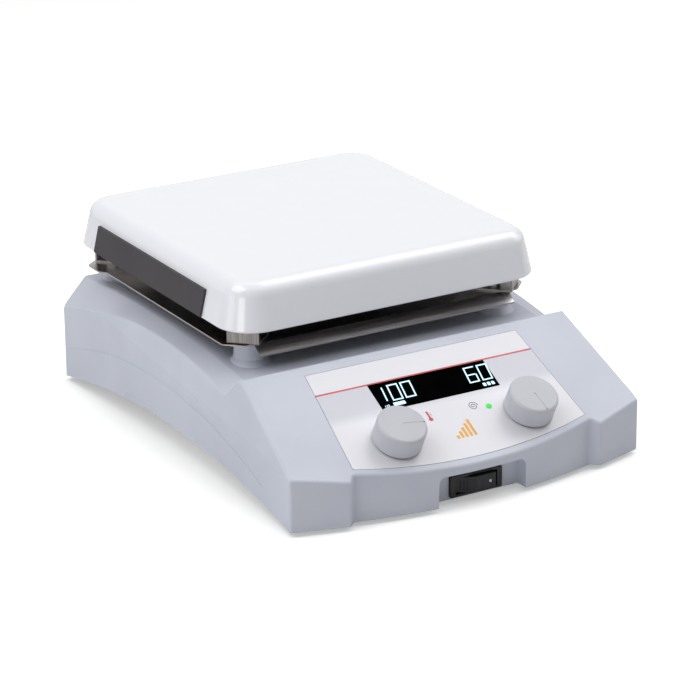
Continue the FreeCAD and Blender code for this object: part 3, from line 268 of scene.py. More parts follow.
# %% Print the film
KNOB_UP_SLOPE = 10.0 * MM
OUT = Vector(joints["temp_knob_turn"]["axis"])
UP_SLOPE = OUT.cross(Vector((1.0, 0.0, 0.0)))
knob_foot = Vector(joints["temp_knob_turn"]["pos_m"])
SLOPE_FOOT = Vector((0.0, knob_foot.y, knob_foot.z)) - UP_SLOPE * KNOB_UP_SLOPE
WHITE_INK, GREY_INK, RED_INK = "E0E0E6", "C9CAD3", "C00A20"
FILM_GRAIN_MM, FILM_GRAIN_DEPTH_MM = 0.6, 0.006
FILM_HEIGHT, PRINT_EDGE = 100.0, 0.02
GREY_FADE_LOW, GREY_FADE_HIGH = 26.5, 33.5
RED_LINE_LOW, RED_LINE_HIGH = 50.0, 51.0

printed_film, tree, shader, spot = new_finish("printed_polyester_film", WHITE_INK, 0.4, ior=1.6)
grain(tree, shader, spot, FILM_GRAIN_MM, FILM_GRAIN_DEPTH_MM)
risen = add(tree, "VectorMath", {"operation": "SUBTRACT", 1: SLOPE_FOOT}, {0: spot})
height = add(tree, "VectorMath", {"operation": "DOT_PRODUCT", 1: UP_SLOPE / MM}, {0: risen.outputs[0]})
share = add(tree, "MapRange", {"From Max": FILM_HEIGHT}, {"Value": height.outputs["Value"]})
print_edges = add(tree, "ValToRGB", {}, {"Fac": share.outputs[0]})
stops = print_edges.color_ramp.elements
stops[0].position, stops[0].color = GREY_FADE_LOW / FILM_HEIGHT, paint(WHITE_INK)
stops[1].position, stops[1].color = GREY_FADE_HIGH / FILM_HEIGHT, paint(GREY_INK)
for position, colour in ((RED_LINE_LOW - PRINT_EDGE, GREY_INK), (RED_LINE_LOW, RED_INK),
                         (RED_LINE_HIGH, RED_INK), (RED_LINE_HIGH + PRINT_EDGE, WHITE_INK)):
    stop = stops.new(position / FILM_HEIGHT)
    stop.color = paint(colour)
tree.links.new(print_edges.outputs["Color"], shader.inputs["Base Color"])
print("slope direction", [round(v, 3) for v in UP_SLOPE])

# %% [markdown]
# ## Plastics
# Each plastic gets its own grain, because the tool that moulds it leaves one. The knobs come from
# a spark-eroded tool and are dull and even. The switch is a harder, blacker plastic with a finer
# skin. The display window is smoked acrylic with a coating that takes its mirror shine away, so that
# it looks deep and black, and the light pipe is clear plastic tinted green, with a lamp behind it
# that makes it glow.

# %% Mould the plastics
FLOW_MM, SMEAR_MM, CORE_MM = 18.0, 14.0, 1.5
DULLER, SHINIER = 0.06, 0.05
LIGHT_PIPE_GLOW = 0.75


def moulded(name, colour, other, roughness, grain_mm, depth_mm, ior=1.53):
    """Moulded plastic: two close shades, a grain, and a roughness that follows the grain."""
    material, tree, shader, spot = new_finish(name, colour, roughness, ior=ior)
    skin = grain(tree, shader, spot, grain_mm, depth_mm)
    flow = add(tree, "TexNoise", {"Scale": per_mm(FLOW_MM), "Detail": 2.0}, {"Vector": spot})
    vary(tree, shader, flow.outputs[0], colour, other, (roughness - SHINIER, roughness + DULLER), skin)
    return material


knob_abs = moulded("spark_textured_abs", "BFBFC7", "C3C3CB", 0.5, 0.7, 0.014)
switch_nylon = moulded("black_glass_filled_nylon", "0B0D14", "12141C", 0.22, 0.5, 0.006, 1.42)
inlet_plastic = moulded("black_thermoset", "141416", "1B1B1E", 0.42, 0.8, 0.01)
foot_rubber = moulded("moulded_rubber", "242426", "2E2E30", 0.72, 1.0, 0.03, 1.52)
relay_case = moulded("grey_polycarbonate_case", "5B5F66", "63676E", 0.36, 0.8, 0.006, 1.58)
carrier_nylon = moulded("natural_nylon", "D9D3C2", "CFC8B4", 0.42, 0.9, 0.01)
encoder_plastic = moulded("grey_encoder_plastic", "6A6D73", "74777D", 0.44, 0.6, 0.008)
capacitor_sleeve = moulded("heat_shrink_sleeve", "1C2430", "232C3A", 0.3, 2.2, 0.02)

window_acrylic, tree, shader, spot = new_finish("smoked_acrylic", "070709", 0.06, ior=1.49)
shader.inputs["Specular IOR Level"].default_value = 0.0
smear = add(tree, "TexNoise", {"Scale": per_mm(SMEAR_MM), "Detail": 3.0}, {"Vector": spot})
vary(tree, shader, smear.outputs[0], "030304", "060607", (0.04, 0.11))

light_pipe, tree, shader, spot = new_finish("green_light_pipe", "0A8C28", 0.3, ior=1.4)
shader.inputs["Emission Color"].default_value = paint("08D430")
shader.inputs["Emission Strength"].default_value = LIGHT_PIPE_GLOW
core = add(tree, "TexNoise", {"Scale": per_mm(CORE_MM), "Detail": 2.0}, {"Vector": spot})
vary(tree, shader, core.outputs[0], "098426", "0E9A30")

# %% [markdown]
# ## Vitreous enamel
# The heated top is coated with glass that was fused on in a furnace. It is white, hard and
# glossy, with a long, lazy waviness where the glaze ran before it froze, and a few specks and
# pinholes where gas came through. The waviness bends reflections, so it is a bump with a size in
# centimetres, and the specks are small spots of a Voronoi pattern that only a few cells show.

# %% Fire the enamel
ENAMEL_WHITE, SPECK_GREY = "ECEDF3", "D8D8DC"
WAVE_MM, WAVE_DEPTH_MM = 16.0, 0.06
SPECK_MM, SPECK_SHARE = 9.0, 0.035
GLAZE_WEIGHT, GLAZE_ROUGHNESS, ENAMEL_SHEEN = 0.5, 0.06, (0.16, 0.26)

enamel, tree, shader, spot = new_finish("vitreous_enamel", ENAMEL_WHITE, 0.2, ior=1.52)
shader.inputs["Coat Weight"].default_value = GLAZE_WEIGHT
shader.inputs["Coat Roughness"].default_value = GLAZE_ROUGHNESS
wave = grain(tree, shader, spot, WAVE_MM, WAVE_DEPTH_MM, detail=1.0)
cells = add(tree, "TexVoronoi", {"Scale": per_mm(SPECK_MM)}, {"Vector": spot})
specks = add(tree, "Math", {"operation": "LESS_THAN", 1: SPECK_SHARE}, {0: cells.outputs["Distance"]})
vary(tree, shader, specks.outputs[0], ENAMEL_WHITE, SPECK_GREY, ENAMEL_SHEEN, wave, (0.2, 0.8))

# %% [markdown]
# ## Sheet metal
# The heat shield and the corner brackets are stainless sheet. Rolling and brushing draw long fine
# scratches in one direction, so the noise is stretched thirty times, along x on the shield and
# upright on the brackets, and the streaks change both the shade and the roughness. Real scratches
# are too fine to show here, so they are drawn about a millimetre wide. Zinc plating is duller, with a
# faint bloom in patches. The base plate is hot-dip galvanised: its zinc froze in flat crystals,
# called spangle, a centimetre across.

# %% Roll and plate the metals
BRUSHED, BRUSHED_UP = (1.0, 30.0, 30.0), (30.0, 30.0, 1.0)
TURNED, EXTRUDED = (1.0, 1.0, 18.0), (18.0, 1.0, 18.0)
SCRATCH_DEPTH_MM, SCRATCH_STRENGTH, SCRATCH_DETAIL = 0.01, 0.6, 4.0
BLOOM_MM, SPANGLE_MM = 4.0, 9.0


def drawn_metal(name, light, shade, low, high, streak_mm, stretch=BRUSHED):
    """Metal with streaks of this length, made narrower across by the stretch."""
    material, tree, shader, spot = new_finish(name, light, low, metallic=1.0)
    streak = grain(tree, shader, spot, streak_mm, SCRATCH_DEPTH_MM, SCRATCH_STRENGTH, stretch,
                   SCRATCH_DETAIL)
    vary(tree, shader, streak, shade, light, (low, high), band=(0.3, 0.7))
    return material


shield_steel = drawn_metal("brushed_stainless_sheet", "B4B0AE", "98938F", 0.16, 0.3, 30.0)
# The brackets are the same stainless sheet, made darker as painted shade, for they stand in the shade
# under the heated top.
bracket_steel_painted_shade = drawn_metal("stainless_sheet_painted_shade", "9A9694", "7F7A78", 0.28, 0.4, 22.0, BRUSHED_UP)
shaft_steel = drawn_metal("ground_steel_bar", "C4C5C8", "A9AAAE", 0.2, 0.3, 12.0)
bearing_steel = drawn_metal("bearing_steel", "B9BABD", "9C9DA1", 0.14, 0.24, 10.0)
motor_aluminium = drawn_metal("turned_aluminium", "C9CACD", "B3B4B8", 0.3, 0.4, 14.0, TURNED)
fin_aluminium = drawn_metal("extruded_aluminium", "BFC1C5", "A5A7AC", 0.32, 0.46, 16.0, EXTRUDED)
contact_brass = drawn_metal("rolled_brass", "D8B35E", "BD9647", 0.26, 0.38, 12.0)
sheathed_heater = drawn_metal("oxidised_heater_sheath", "5C564A", "45413A", 0.5, 0.64, 8.0, EVEN)
magnet_nickel = drawn_metal("nickel_plate", "C9C6BE", "BAB7B0", 0.16, 0.26, 9.0, EVEN)

zinc_plate, tree, shader, spot = new_finish("zinc_plated_steel", "B9BCC0", 0.36, metallic=1.0)
bloom = add(tree, "TexNoise", {"Scale": per_mm(BLOOM_MM), "Detail": 4.0}, {"Vector": spot})
vary(tree, shader, bloom.outputs[0], "A9ADB2", "C2C5C6", (0.3, 0.46))

galvanised, tree, shader, spot = new_finish("galvanised_sheet", "A9ADB1", 0.42, metallic=1.0)
spangle = add(tree, "TexVoronoi", {"Scale": per_mm(SPANGLE_MM)}, {"Vector": spot})
crystal = add(tree, "SeparateColor", {}, {"Color": spangle.outputs["Color"]})
vary(tree, shader, crystal.outputs["Red"], "989CA1", "B7BBBF", (0.34, 0.52), crystal.outputs["Green"],
     (0.0, 1.0))

# %% [markdown]
# ## A dark coating, and painted shade on the heater pan
# The strip on the left of the heated top is steel under a dark brown-grey heat-proof paint, smooth and
# only slightly shiny. The pan that holds the heater is given an almost black, quite dull colour: painted
# shade, standing for the dark gap under the heated top where the pan lies in shade.

# %% Spray the dark strip and the pan's painted shade
STRIP_GRAIN_MM, STRIP_GRAIN_DEPTH_MM, DRIFT_MM = 0.8, 0.008, 30.0
PAN_GRAIN_MM, PAN_GRAIN_DEPTH_MM = 1.1, 0.03

strip_paint, tree, shader, spot = new_finish("heat_proof_silicone_paint", "343135", 0.5, ior=1.42)
grain(tree, shader, spot, STRIP_GRAIN_MM, STRIP_GRAIN_DEPTH_MM)
drift = add(tree, "TexNoise", {"Scale": per_mm(DRIFT_MM), "Detail": 3.0}, {"Vector": spot})
vary(tree, shader, drift.outputs[0], "312E32", "383539", (0.45, 0.58))

# The pan's near-black colour is painted shade: it stands for the dark gap under the heated top.
pan_painted_shade, tree, shader, spot = new_finish("black_painted_shade", "121113", 0.6, ior=1.48)
speckle = grain(tree, shader, spot, PAN_GRAIN_MM, PAN_GRAIN_DEPTH_MM)
vary(tree, shader, speckle, "0E0D0F", "191819")

# %% [markdown]
# ## What is inside
# The boards are green glass laminate with a solder mask over copper tracks, so a brick pattern two
# millimetres high lies in them as a slightly lighter green. Iron cores are stacks of thin sheets,
# seen as level lines. Real sheets are too thin to show, so the lines are drawn about six millimetres
# apart. The pad round the heater is mineral wool: pale, dull and fibrous, so its bump is deep and its
# light is spread by a little sheen.

# %% Build up the inner materials
TRACK_MM, BRICK_SHARE = 2.0, 0.25
TRACK_DEPTH_MM, SHEET_DEPTH_MM = 0.03, 0.05
CORE_LINE_SCALE = 50.0
FIBRE_MM, FIBRE_DEPTH_MM, FIBRE_STRETCH, FIBRE_DETAIL = 1.6, 0.5, (1.0, 3.0, 6.0), 6.0

board_laminate, tree, shader, spot = new_finish("solder_mask_laminate", "0E5B35", 0.32, ior=1.55)
tracks = add(tree, "TexBrick", {"Scale": per_mm(TRACK_MM / BRICK_SHARE), "Mortar Size": 0.03,
                                "Color1": paint("0D5230"), "Color2": paint("0F5C37"),
                                "Mortar": paint("2C8A55")}, {"Vector": spot})
tree.links.new(tracks.outputs["Color"], shader.inputs["Base Color"])
raised = add(tree, "Bump", {"Strength": 0.4, "Distance": TRACK_DEPTH_MM * MM},
             {"Height": tracks.outputs["Fac"]})
tree.links.new(raised.outputs[0], shader.inputs["Normal"])

iron_core, tree, shader, spot = new_finish("laminated_iron", "55504C", 0.44, metallic=1.0)
sheets = add(tree, "TexWave", {"Scale": CORE_LINE_SCALE, "bands_direction": "Z", "Distortion": 0.2},
             {"Vector": spot})
vary(tree, shader, sheets.outputs["Fac"], "3D3937", "655F5A", band=(0.2, 0.8))
edges = add(tree, "Bump", {"Strength": 0.5, "Distance": SHEET_DEPTH_MM * MM},
            {"Height": sheets.outputs["Fac"]})
tree.links.new(edges.outputs[0], shader.inputs["Normal"])

mineral_wool, tree, shader, spot = new_finish("mineral_wool", "CFC7B2", 0.95, ior=1.45)
shader.inputs["Sheen Weight"].default_value = 0.3
fibre = grain(tree, shader, spot, FIBRE_MM, FIBRE_DEPTH_MM, 1.0, FIBRE_STRETCH, FIBRE_DETAIL)
vary(tree, shader, fibre, "B9B09A", "DBD4C1")

# %% [markdown]
# ## Dress the model
# Every node now takes its finish. The list reads like a parts list: a finish, then what is made of
# it. A node that stays as it is keeps its mesh and gets the finish in its material slot.

# %% Give every node its finish
SIDES = ("front_left", "front_right", "rear_left", "rear_right")
FINISHES = (
    (powder_coat, ("housing_shell",)),
    (printed_film, ("control_overlay",)),
    (window_acrylic, ("display_window",)),
    (light_pipe, ("status_light",)),
    (knob_abs, ("temp_knob", "speed_knob")),
    (switch_nylon, ("switch_frame", "switch_rocker", "display_module")),
    (inlet_plastic, ("power_inlet",)),
    (enamel, ("top_plate",)),
    (strip_paint, ("side_strip",)),
    (pan_painted_shade, ("heater_pan",)),
    (shield_steel, ("heat_shield", "motor_bracket")),
    (bracket_steel_painted_shade, tuple(side + "_bracket" for side in SIDES)),
    (foot_rubber, tuple(side + "_foot" for side in SIDES)),
    (galvanised, ("base_plate",)),
    (zinc_plate, ("base_screws", "bracket_screws", "motor_screws", "plate_studs", "plate_nuts",
                  "encoder_nuts")),
    (board_laminate, ("control_board", "power_board")),
    (encoder_plastic, ("temp_encoder", "speed_encoder", "temp_rotor", "speed_rotor")),
    (shaft_steel, ("temp_shaft", "speed_shaft", "motor_shaft", "motor_rotor", "temperature_probe")),
    (contact_brass, ("switch_terminals", "inlet_pins", "board_standoffs")),
    (sheathed_heater, ("heater_coil",)),
    (mineral_wool, ("insulation_pad",)),
    (motor_aluminium, ("motor_can",)),
    (bearing_steel, ("motor_bearings",)),
    (iron_core, ("motor_stator", "transformer")),
    (carrier_nylon, ("magnet_carrier",)),
    (magnet_nickel, ("magnets",)),
    (capacitor_sleeve, ("capacitors",)),
    (fin_aluminium, ("heatsink",)),
    (relay_case, ("relay",)),
)
for finish, names in FINISHES:
    for name in names:
        mesh = nodes[name].data
        mesh.materials.clear()
        mesh.materials.append(finish)
dressed = {name for _, names in FINISHES for name in names}
print("dressed", len(dressed), "left", sorted(set(nodes) - dressed))

# %% [markdown]
# ## Working by hand, in code
# A modeller picks faces by eye. In code they are picked by where they are or which way they look, so
# one helper selects by a rule and opens edit mode. Another puts a finished piece in its place: it
# applies the place to the mesh, which leaves the object at the origin as the nodes are, gives it a
# finish and says which body it moves with. Places on the control face are given as millimetres
# across it and up its slope, and one matrix turns them into places on the model.

# %% Helpers for modelling
FACING = 0.9
SLOPE_PLACE = Matrix((Vector((1.0, 0.0, 0.0)), UP_SLOPE, OUT)).transposed().to_4x4()
SLOPE_PLACE.translation = SLOPE_FOOT
print("control face starts at", [round(v, 4) for v in SLOPE_FOOT])


def clear_selection():
    """Close edit mode and let go of everything."""
    if bpy.context.object and bpy.context.object.mode == "EDIT":
        bpy.ops.object.mode_set(mode="OBJECT")
    bpy.ops.object.select_all(action="DESELECT")


def hold(piece):
    """Select one piece alone."""
    clear_selection()
    piece.select_set(True)
    bpy.context.view_layer.objects.active = piece


def edit(piece, kind="FACE", rule=lambda item: True):
    """Open edit mode with the faces or the edges that pass the rule selected, and nothing else."""
    hold(piece)
    mesh = piece.data
    for part in (mesh.vertices, mesh.edges, mesh.polygons):
        part.foreach_set("select", [False] * len(part))
    for item in mesh.polygons if kind == "FACE" else mesh.edges:
        item.select = rule(item)
    bpy.ops.object.mode_set(mode="EDIT")
    bpy.ops.mesh.select_mode(type=kind)


def thicken(piece, rise):
    """Raise a flat outline, then make its faces look outwards."""
    edit(piece)
    bpy.ops.mesh.extrude_region_move(TRANSFORM_OT_translate={"value": (0.0, 0.0, rise)})
    bpy.ops.mesh.select_all(action="SELECT")
    bpy.ops.mesh.normals_make_consistent(inside=False)
    bpy.ops.object.mode_set(mode="OBJECT")


def settle(piece, name, finish, body, place=SLOPE_PLACE):
    """Put a piece in its place, leave its object at the origin, and let it ride on its body."""
    hold(piece)
    piece.matrix_world = place @ piece.matrix_world
    bpy.ops.object.transform_apply(location=True, rotation=True, scale=True)
    piece.name = name
    piece.data.name = name
    piece.data.materials.clear()
    piece.data.materials.append(finish)
    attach(piece, body)
    print(name, "faces", len(piece.data.polygons))
    return piece


def joined(pieces):
    """One piece out of several, each with its own place applied first."""
    clear_selection()
    for piece in pieces:
        piece.select_set(True)
    bpy.context.view_layer.objects.active = pieces[0]
    bpy.ops.object.transform_apply(location=True, rotation=True, scale=True)
    bpy.ops.object.join()
    return bpy.context.object


def copy_of(piece):
    """A copy with a mesh of its own."""
    twin = piece.copy()
    twin.data = piece.data.copy()
    bpy.context.scene.collection.objects.link(twin)
    return twin


# %% [markdown]
# ## Lit digits
# The display shows two numbers in slim strokes, a pale icy blue on black. Each digit is laid out
# from a few bars, as on any seven-segment display: level bars run the whole width, and upright ones
# stand between them, so that the bars touch and never cross. The finished number is leaned a little by
# a shear. A text object could give the digits too, but its font would not look like a display.

# %% Model the bars and light them
DIGIT_HEIGHT, DIGIT_WIDTH, STROKE = 11.4 * MM, 6.7 * MM, 0.86 * MM
SEGMENT_RISE = 0.03 * MM
DIGIT_LEAN = math.radians(7.0)
DIGIT_FOOT = 36.0 * MM
WINDOW_FACE = 0.2 * MM
HEAT_STARTS_MM, SPEED_STARTS_MM = (-33.6, -24.0, -15.8), (24.8, 33.2)
DIGIT_GLOW, DOT_MM = 0.55, 0.5

lit_segment, tree, shader, spot = new_finish("lit_display_segment", "B8E2F2", 0.4)
shader.inputs["Emission Color"].default_value = paint("D2F0FA")
shader.inputs["Emission Strength"].default_value = DIGIT_GLOW
dots = add(tree, "TexNoise", {"Scale": per_mm(DOT_MM), "Detail": 1.0}, {"Vector": spot})
vary(tree, shader, dots.outputs[0], "AEDCEE", "C2E8F5")

MIDDLE = (DIGIT_HEIGHT - STROKE) / 2
SIDE = (DIGIT_WIDTH - STROKE) / 2
UPRIGHT = MIDDLE - STROKE / 2
LEAN = Matrix.Identity(4)
LEAN[0][1] = math.tan(DIGIT_LEAN)
BARS = {
    "top": (0.0, MIDDLE, DIGIT_WIDTH, STROKE), "foot": (0.0, -MIDDLE, DIGIT_WIDTH, STROKE),
    "middle": (0.0, 0.0, DIGIT_WIDTH - 2 * STROKE, STROKE),
    "left_high": (-SIDE, UPRIGHT / 2, STROKE, UPRIGHT),
    "left_low": (-SIDE, -UPRIGHT / 2, STROKE, UPRIGHT),
    "right_high": (SIDE, UPRIGHT / 2, STROKE, UPRIGHT),
    "right_low": (SIDE, -UPRIGHT / 2, STROKE, UPRIGHT),
}
RING = ("top", "foot", "left_high", "left_low", "right_high", "right_low")
DIGITS = {"0": RING, "1": ("right_high", "right_low"),
          "6": ("top", "middle", "foot", "left_high", "left_low", "right_low")}


def lit_number(digits, starts_mm):
    """The bars of a number, each digit at its own distance across the slope, leaned as one piece."""
    bars = []
    for digit, start in zip(digits, starts_mm):
        for name in DIGITS[digit]:
            x, y, width, height = BARS[name]
            clear_selection()
            bpy.ops.mesh.primitive_plane_add(size=1.0, location=(start * MM + x, y, 0.0))
            bar = bpy.context.object
            bar.scale = (width, height, 1.0)
            bpy.ops.object.transform_apply(location=True, rotation=True, scale=True)
            thicken(bar, SEGMENT_RISE)
            bars.append(bar)
    number = joined(bars)
    number.data.transform(LEAN)
    number.location = (0.0, DIGIT_FOOT + DIGIT_HEIGHT / 2, WINDOW_FACE)
    return number


settle(lit_number("100", HEAT_STARTS_MM), "lit_digits_heat", lit_segment, "housing")
settle(lit_number("60", SPEED_STARTS_MM), "lit_digits_speed", lit_segment, "housing")

# %% [markdown]
# Under the numbers the display lights a few small signs. Here they are plain blocks, which say no
# more than that something is on: three rising steps and one long bar at the left, and three short
# bars at the right. Each is a plane with its corners rounded by a bevel and then raised.

# %% Light the level bars
SIGN_HEIGHT, CORNER_SHARE, CORNER_STEPS = 2.3 * MM, 0.18, 3
LONG_BAR_AT, LONG_BAR_WIDTH = (-25.4, 33.6), 7.4 * MM
STEPS_AT, STEPS_PITCH, STEP_WIDTH = (-34.2, 33.4), 1.1, 0.5 * MM
FIRST_STEP, STEP_GROWTH = 0.9 * MM, 0.5 * MM
SHORT_BARS_AT, SHORT_BARS_PITCH, SHORT_BAR_WIDTH = (28.6, 33.2), 2.7, 1.9 * MM


def flat_block(x, t, width, height, rise, n):
    """A rounded flat block, its middle x across the slope and t up it, in millimetres."""
    clear_selection()
    bpy.ops.mesh.primitive_plane_add(size=1.0, location=(x * MM, t * MM, n))
    block = bpy.context.object
    block.scale = (width, height, 1.0)
    bpy.ops.object.transform_apply(location=False, rotation=False, scale=True)
    edit(block)
    bpy.ops.mesh.bevel(offset=CORNER_SHARE * min(width, height), segments=CORNER_STEPS, affect="VERTICES")
    bpy.ops.object.mode_set(mode="OBJECT")
    thicken(block, rise)
    return block


signs = [flat_block(*LONG_BAR_AT, LONG_BAR_WIDTH, SIGN_HEIGHT, SEGMENT_RISE, WINDOW_FACE)]
x, t = STEPS_AT
for i in range(3):
    signs.append(flat_block(x + STEPS_PITCH * i, t, STEP_WIDTH, FIRST_STEP + STEP_GROWTH * i,
                            SEGMENT_RISE, WINDOW_FACE))
x, t = SHORT_BARS_AT
for i in range(3):
    signs.append(flat_block(x + SHORT_BARS_PITCH * i, t, SHORT_BAR_WIDTH, SIGN_HEIGHT,
                            SEGMENT_RISE, WINDOW_FACE))
settle(joined(signs), "lit_level_bars", lit_segment, "housing")

# %% [markdown]
# ## Printed signs
# Beside each knob a small sign says what it sets: a thermometer for heat, and a swirl for the stirring.
# They are drawn from scratch, as flat shapes a few hundredths of a millimetre thick, like a thick
# layer of screen ink. The ink is pressed through a mesh, which leaves a faint mottle.

# %% Mix three inks
MOTTLE_MM, MOTTLE_DEPTH_MM = 0.4, 0.004


def ink(name, colour, other):
    """Screen ink: nearly flat colour with the faint mottle of the mesh it was pressed through."""
    material, tree, shader, spot = new_finish(name, colour, 0.5)
    mottle = grain(tree, shader, spot, MOTTLE_MM, MOTTLE_DEPTH_MM)
    vary(tree, shader, mottle, colour, other)
    return material


red_ink = ink("red_screen_ink", "C9404A", "CE4A53")
grey_ink = ink("grey_screen_ink", "33353C", "3B3D45")
orange_ink = ink("orange_screen_ink", "E9A534", "ECAB3F")

# %% [markdown]
# The thermometer is a long rounded bar that meets a disc, with three short ticks beside it. The disc
# starts as a filled circle and is raised like the bars. Bar and disc are joined into one piece, and
# the ticks are a second one, because their ink is another.

# %% Draw the thermometer
FILM_FACE, INK_RISE, ROUND_CORNERS = 0.1 * MM, 0.03 * MM, 32
THERMOMETER = Vector((-14.0, 20.7))
BULB_DOWN, BULB_RADIUS = 2.4, 1.3 * MM
STEM_UP, STEM_WIDTH, STEM_LENGTH = 0.8, 1.2 * MM, 5.4 * MM
TICKS_ACROSS, TICKS_DOWN, TICKS_PITCH, TICK_LENGTH, TICK_WIDTH = 1.5, 0.2, 1.0, 0.9 * MM, 0.28 * MM


def flat_disc(x, t, radius, rise, n):
    """A flat disc, its middle x across the slope and t up it, in millimetres."""
    clear_selection()
    bpy.ops.mesh.primitive_circle_add(vertices=ROUND_CORNERS, radius=radius, fill_type="NGON",
                                      location=(x * MM, t * MM, n))
    disc = bpy.context.object
    thicken(disc, rise)
    return disc


x, t = THERMOMETER
bulb = flat_disc(x, t - BULB_DOWN, BULB_RADIUS, INK_RISE, FILM_FACE)
stem = flat_block(x, t + STEM_UP, STEM_WIDTH, STEM_LENGTH, INK_RISE, FILM_FACE)
settle(joined([bulb, stem]), "printed_thermometer", red_ink, "housing")
ticks = [flat_block(x + TICKS_ACROSS, t - TICKS_DOWN + TICKS_PITCH * i, TICK_LENGTH, TICK_WIDTH,
                    INK_RISE, FILM_FACE) for i in range(3)]
settle(joined(ticks), "printed_thermometer_ticks", grey_ink, "housing")

# %% [markdown]
# The swirl is made with the spin tool: one short edge, as wide as the line, is swept round a centre
# and leaves a curved band behind it. Four half turns of growing radius, each starting where the last
# one ends, read as a spiral. A curve with a thickness would do too, but spin shows how a sweep works.

# %% Spin the swirl
SWIRL = Vector((14.0, 20.6))
SWIRL_LINE, SWIRL_INNER, SWIRL_STEP = 0.4 * MM, 0.6 * MM, 0.68 * MM
HALF_TURNS, SPIN_STEPS = 4, 20


def half_turn(centre, radius, start, width):
    """A flat band curved through half a turn: an edge across the line, spun about the centre."""
    clear_selection()
    bpy.ops.mesh.primitive_plane_add(size=1.0)
    strip = bpy.context.object
    strip.scale = (width, width, 1.0)
    bpy.ops.object.transform_apply(location=False, rotation=False, scale=True)
    edit(strip, "EDGE", lambda edge: all(strip.data.vertices[i].co.y < 0.0 for i in edge.vertices))
    bpy.ops.mesh.select_all(action="INVERT")
    bpy.ops.mesh.delete(type="EDGE")
    bpy.ops.mesh.select_all(action="SELECT")
    bpy.ops.transform.translate(value=(radius, width / 2, 0.0))
    bpy.ops.mesh.spin(steps=SPIN_STEPS, angle=math.pi, center=(0.0, 0.0, 0.0), axis=(0.0, 0.0, 1.0))
    bpy.ops.object.mode_set(mode="OBJECT")
    strip.rotation_euler.z = start
    strip.location = (centre.x * MM, centre.y * MM, FILM_FACE)
    bpy.ops.object.transform_apply(location=True, rotation=True, scale=True)
    thicken(strip, INK_RISE)
    return strip


bands = []
for number in range(HALF_TURNS):
    odd = number % 2
    aside = Vector((odd * SWIRL_STEP / MM / 2, 0.0))
    bands.append(half_turn(SWIRL + aside, SWIRL_INNER + SWIRL_STEP * number, math.pi * odd, SWIRL_LINE))
settle(joined(bands), "printed_swirl", grey_ink, "housing")

# %% [markdown]
# Between the knobs stands a plain rising scale in orange: five bars, each a little taller than the
# one before, for low heat to high heat. All five come from the same helper as the lit blocks.

# %% Print the rising scale
SCALE_LEFT, SCALE_FOOT, SCALE_PITCH, SCALE_BARS = -5.4, 1.4, 2.7, 5
BAR_WIDTH, FIRST_BAR, BAR_GROWTH = 1.7 * MM, 2.4, 2.3
scale_bars = []
for i in range(SCALE_BARS):
    tall = FIRST_BAR + BAR_GROWTH * i
    x, t = SCALE_LEFT + SCALE_PITCH * i, SCALE_FOOT + tall / 2
    scale_bars.append(flat_block(x, t, BAR_WIDTH, tall * MM, INK_RISE, FILM_FACE))
settle(joined(scale_bars), "printed_heat_scale", orange_ink, "housing")

# %% [markdown]
# ## Pointer lines
# Each knob has a groove across its top as a pointer. It is filled with a slim inlay almost to the
# brim, so that it shows as a fine line and not as a dark slot. An inlay moves with its knob.

# %% Lay in the pointers
KNOB_TOP, GROOVE_DEPTH, GROOVE_WIDTH = 13.2 * MM, 0.5 * MM, 0.9 * MM
INLAY_START, INLAY_END, INLAY_RISE, INLAY_GAP = 0.4, 11.8, 0.38 * MM, 0.06 * MM
POINTER_TURNS = (("temp", -10.0), ("speed", -86.0))
for knob, turned in POINTER_TURNS:
    length, width = (INLAY_END - INLAY_START) * MM, GROOVE_WIDTH - 2 * INLAY_GAP
    inlay = flat_block((INLAY_START + INLAY_END) / 2, 0.0, length, width, INLAY_RISE, 0.0)
    inlay.data.transform(Matrix.Translation(inlay.location))
    inlay.location = (joints[knob + "_knob_turn"]["pos_m"][0], KNOB_UP_SLOPE, KNOB_TOP - GROOVE_DEPTH)
    inlay.rotation_euler.z = math.radians(turned)
    settle(inlay, knob + "_pointer_inlay", knob_abs, knob + "_button")

# %% [markdown]
# ## The dot on the rocker
# The end of the rocker that is out carries a small white dot. It is a disc let into the plastic, so
# it is placed on the rocker's own sloping face and rides with the rocker.

# %% Set the dot
DOT_RADIUS, DOT_FROM_AXIS, DOT_RISE = 0.75 * MM, 8.8 * MM, 0.04 * MM
CREST_DEPTH, FACE_FALL, HALF_ROCKER = 7.6 * MM, 2.6 * MM, 12.0 * MM
REST_TILT = math.radians(-10.0)
DOT_SKIN_MM = 0.6

dot_enamel, tree, shader, spot = new_finish("white_dot_enamel", "E6E8EE", 0.3)
dot_skin = add(tree, "TexNoise", {"Scale": per_mm(DOT_SKIN_MM), "Detail": 2.0}, {"Vector": spot})
vary(tree, shader, dot_skin.outputs[0], "E0E2E9", "EDEEF2")
axis_point = Vector(joints["rocker_tilt"]["pos_m"])
fall_angle = math.atan2(FACE_FALL, HALF_ROCKER)
along = Vector((math.cos(fall_angle), math.sin(fall_angle), 0.0))
outward = Vector((math.sin(fall_angle), -math.cos(fall_angle), 0.0))
face_place = Matrix((along, Vector((0.0, 0.0, 1.0)), outward)).transposed().to_4x4()
face_place.translation = Vector((0.0, -CREST_DEPTH, 0.0)) + along * DOT_FROM_AXIS
rocker_place = Matrix.Translation(axis_point) @ Matrix.Rotation(REST_TILT, 4, "Z") @ face_place
dot = flat_disc(0.0, 0.0, DOT_RADIUS, DOT_RISE, 0.0)
settle(dot, "rocker_dot", dot_enamel, "rocker", rocker_place)

# %% [markdown]
# ## Screws with a cross recess
# The screws under the base and on the corner brackets are plain in the engineering model. Here each
# gets the cross recess that a screwdriver fits: a cutter shaped like a plus sign with a tapered
# bottom is taken out of the head with a boolean modifier. One screw of each kind is cut, and the
# others are copies of it.

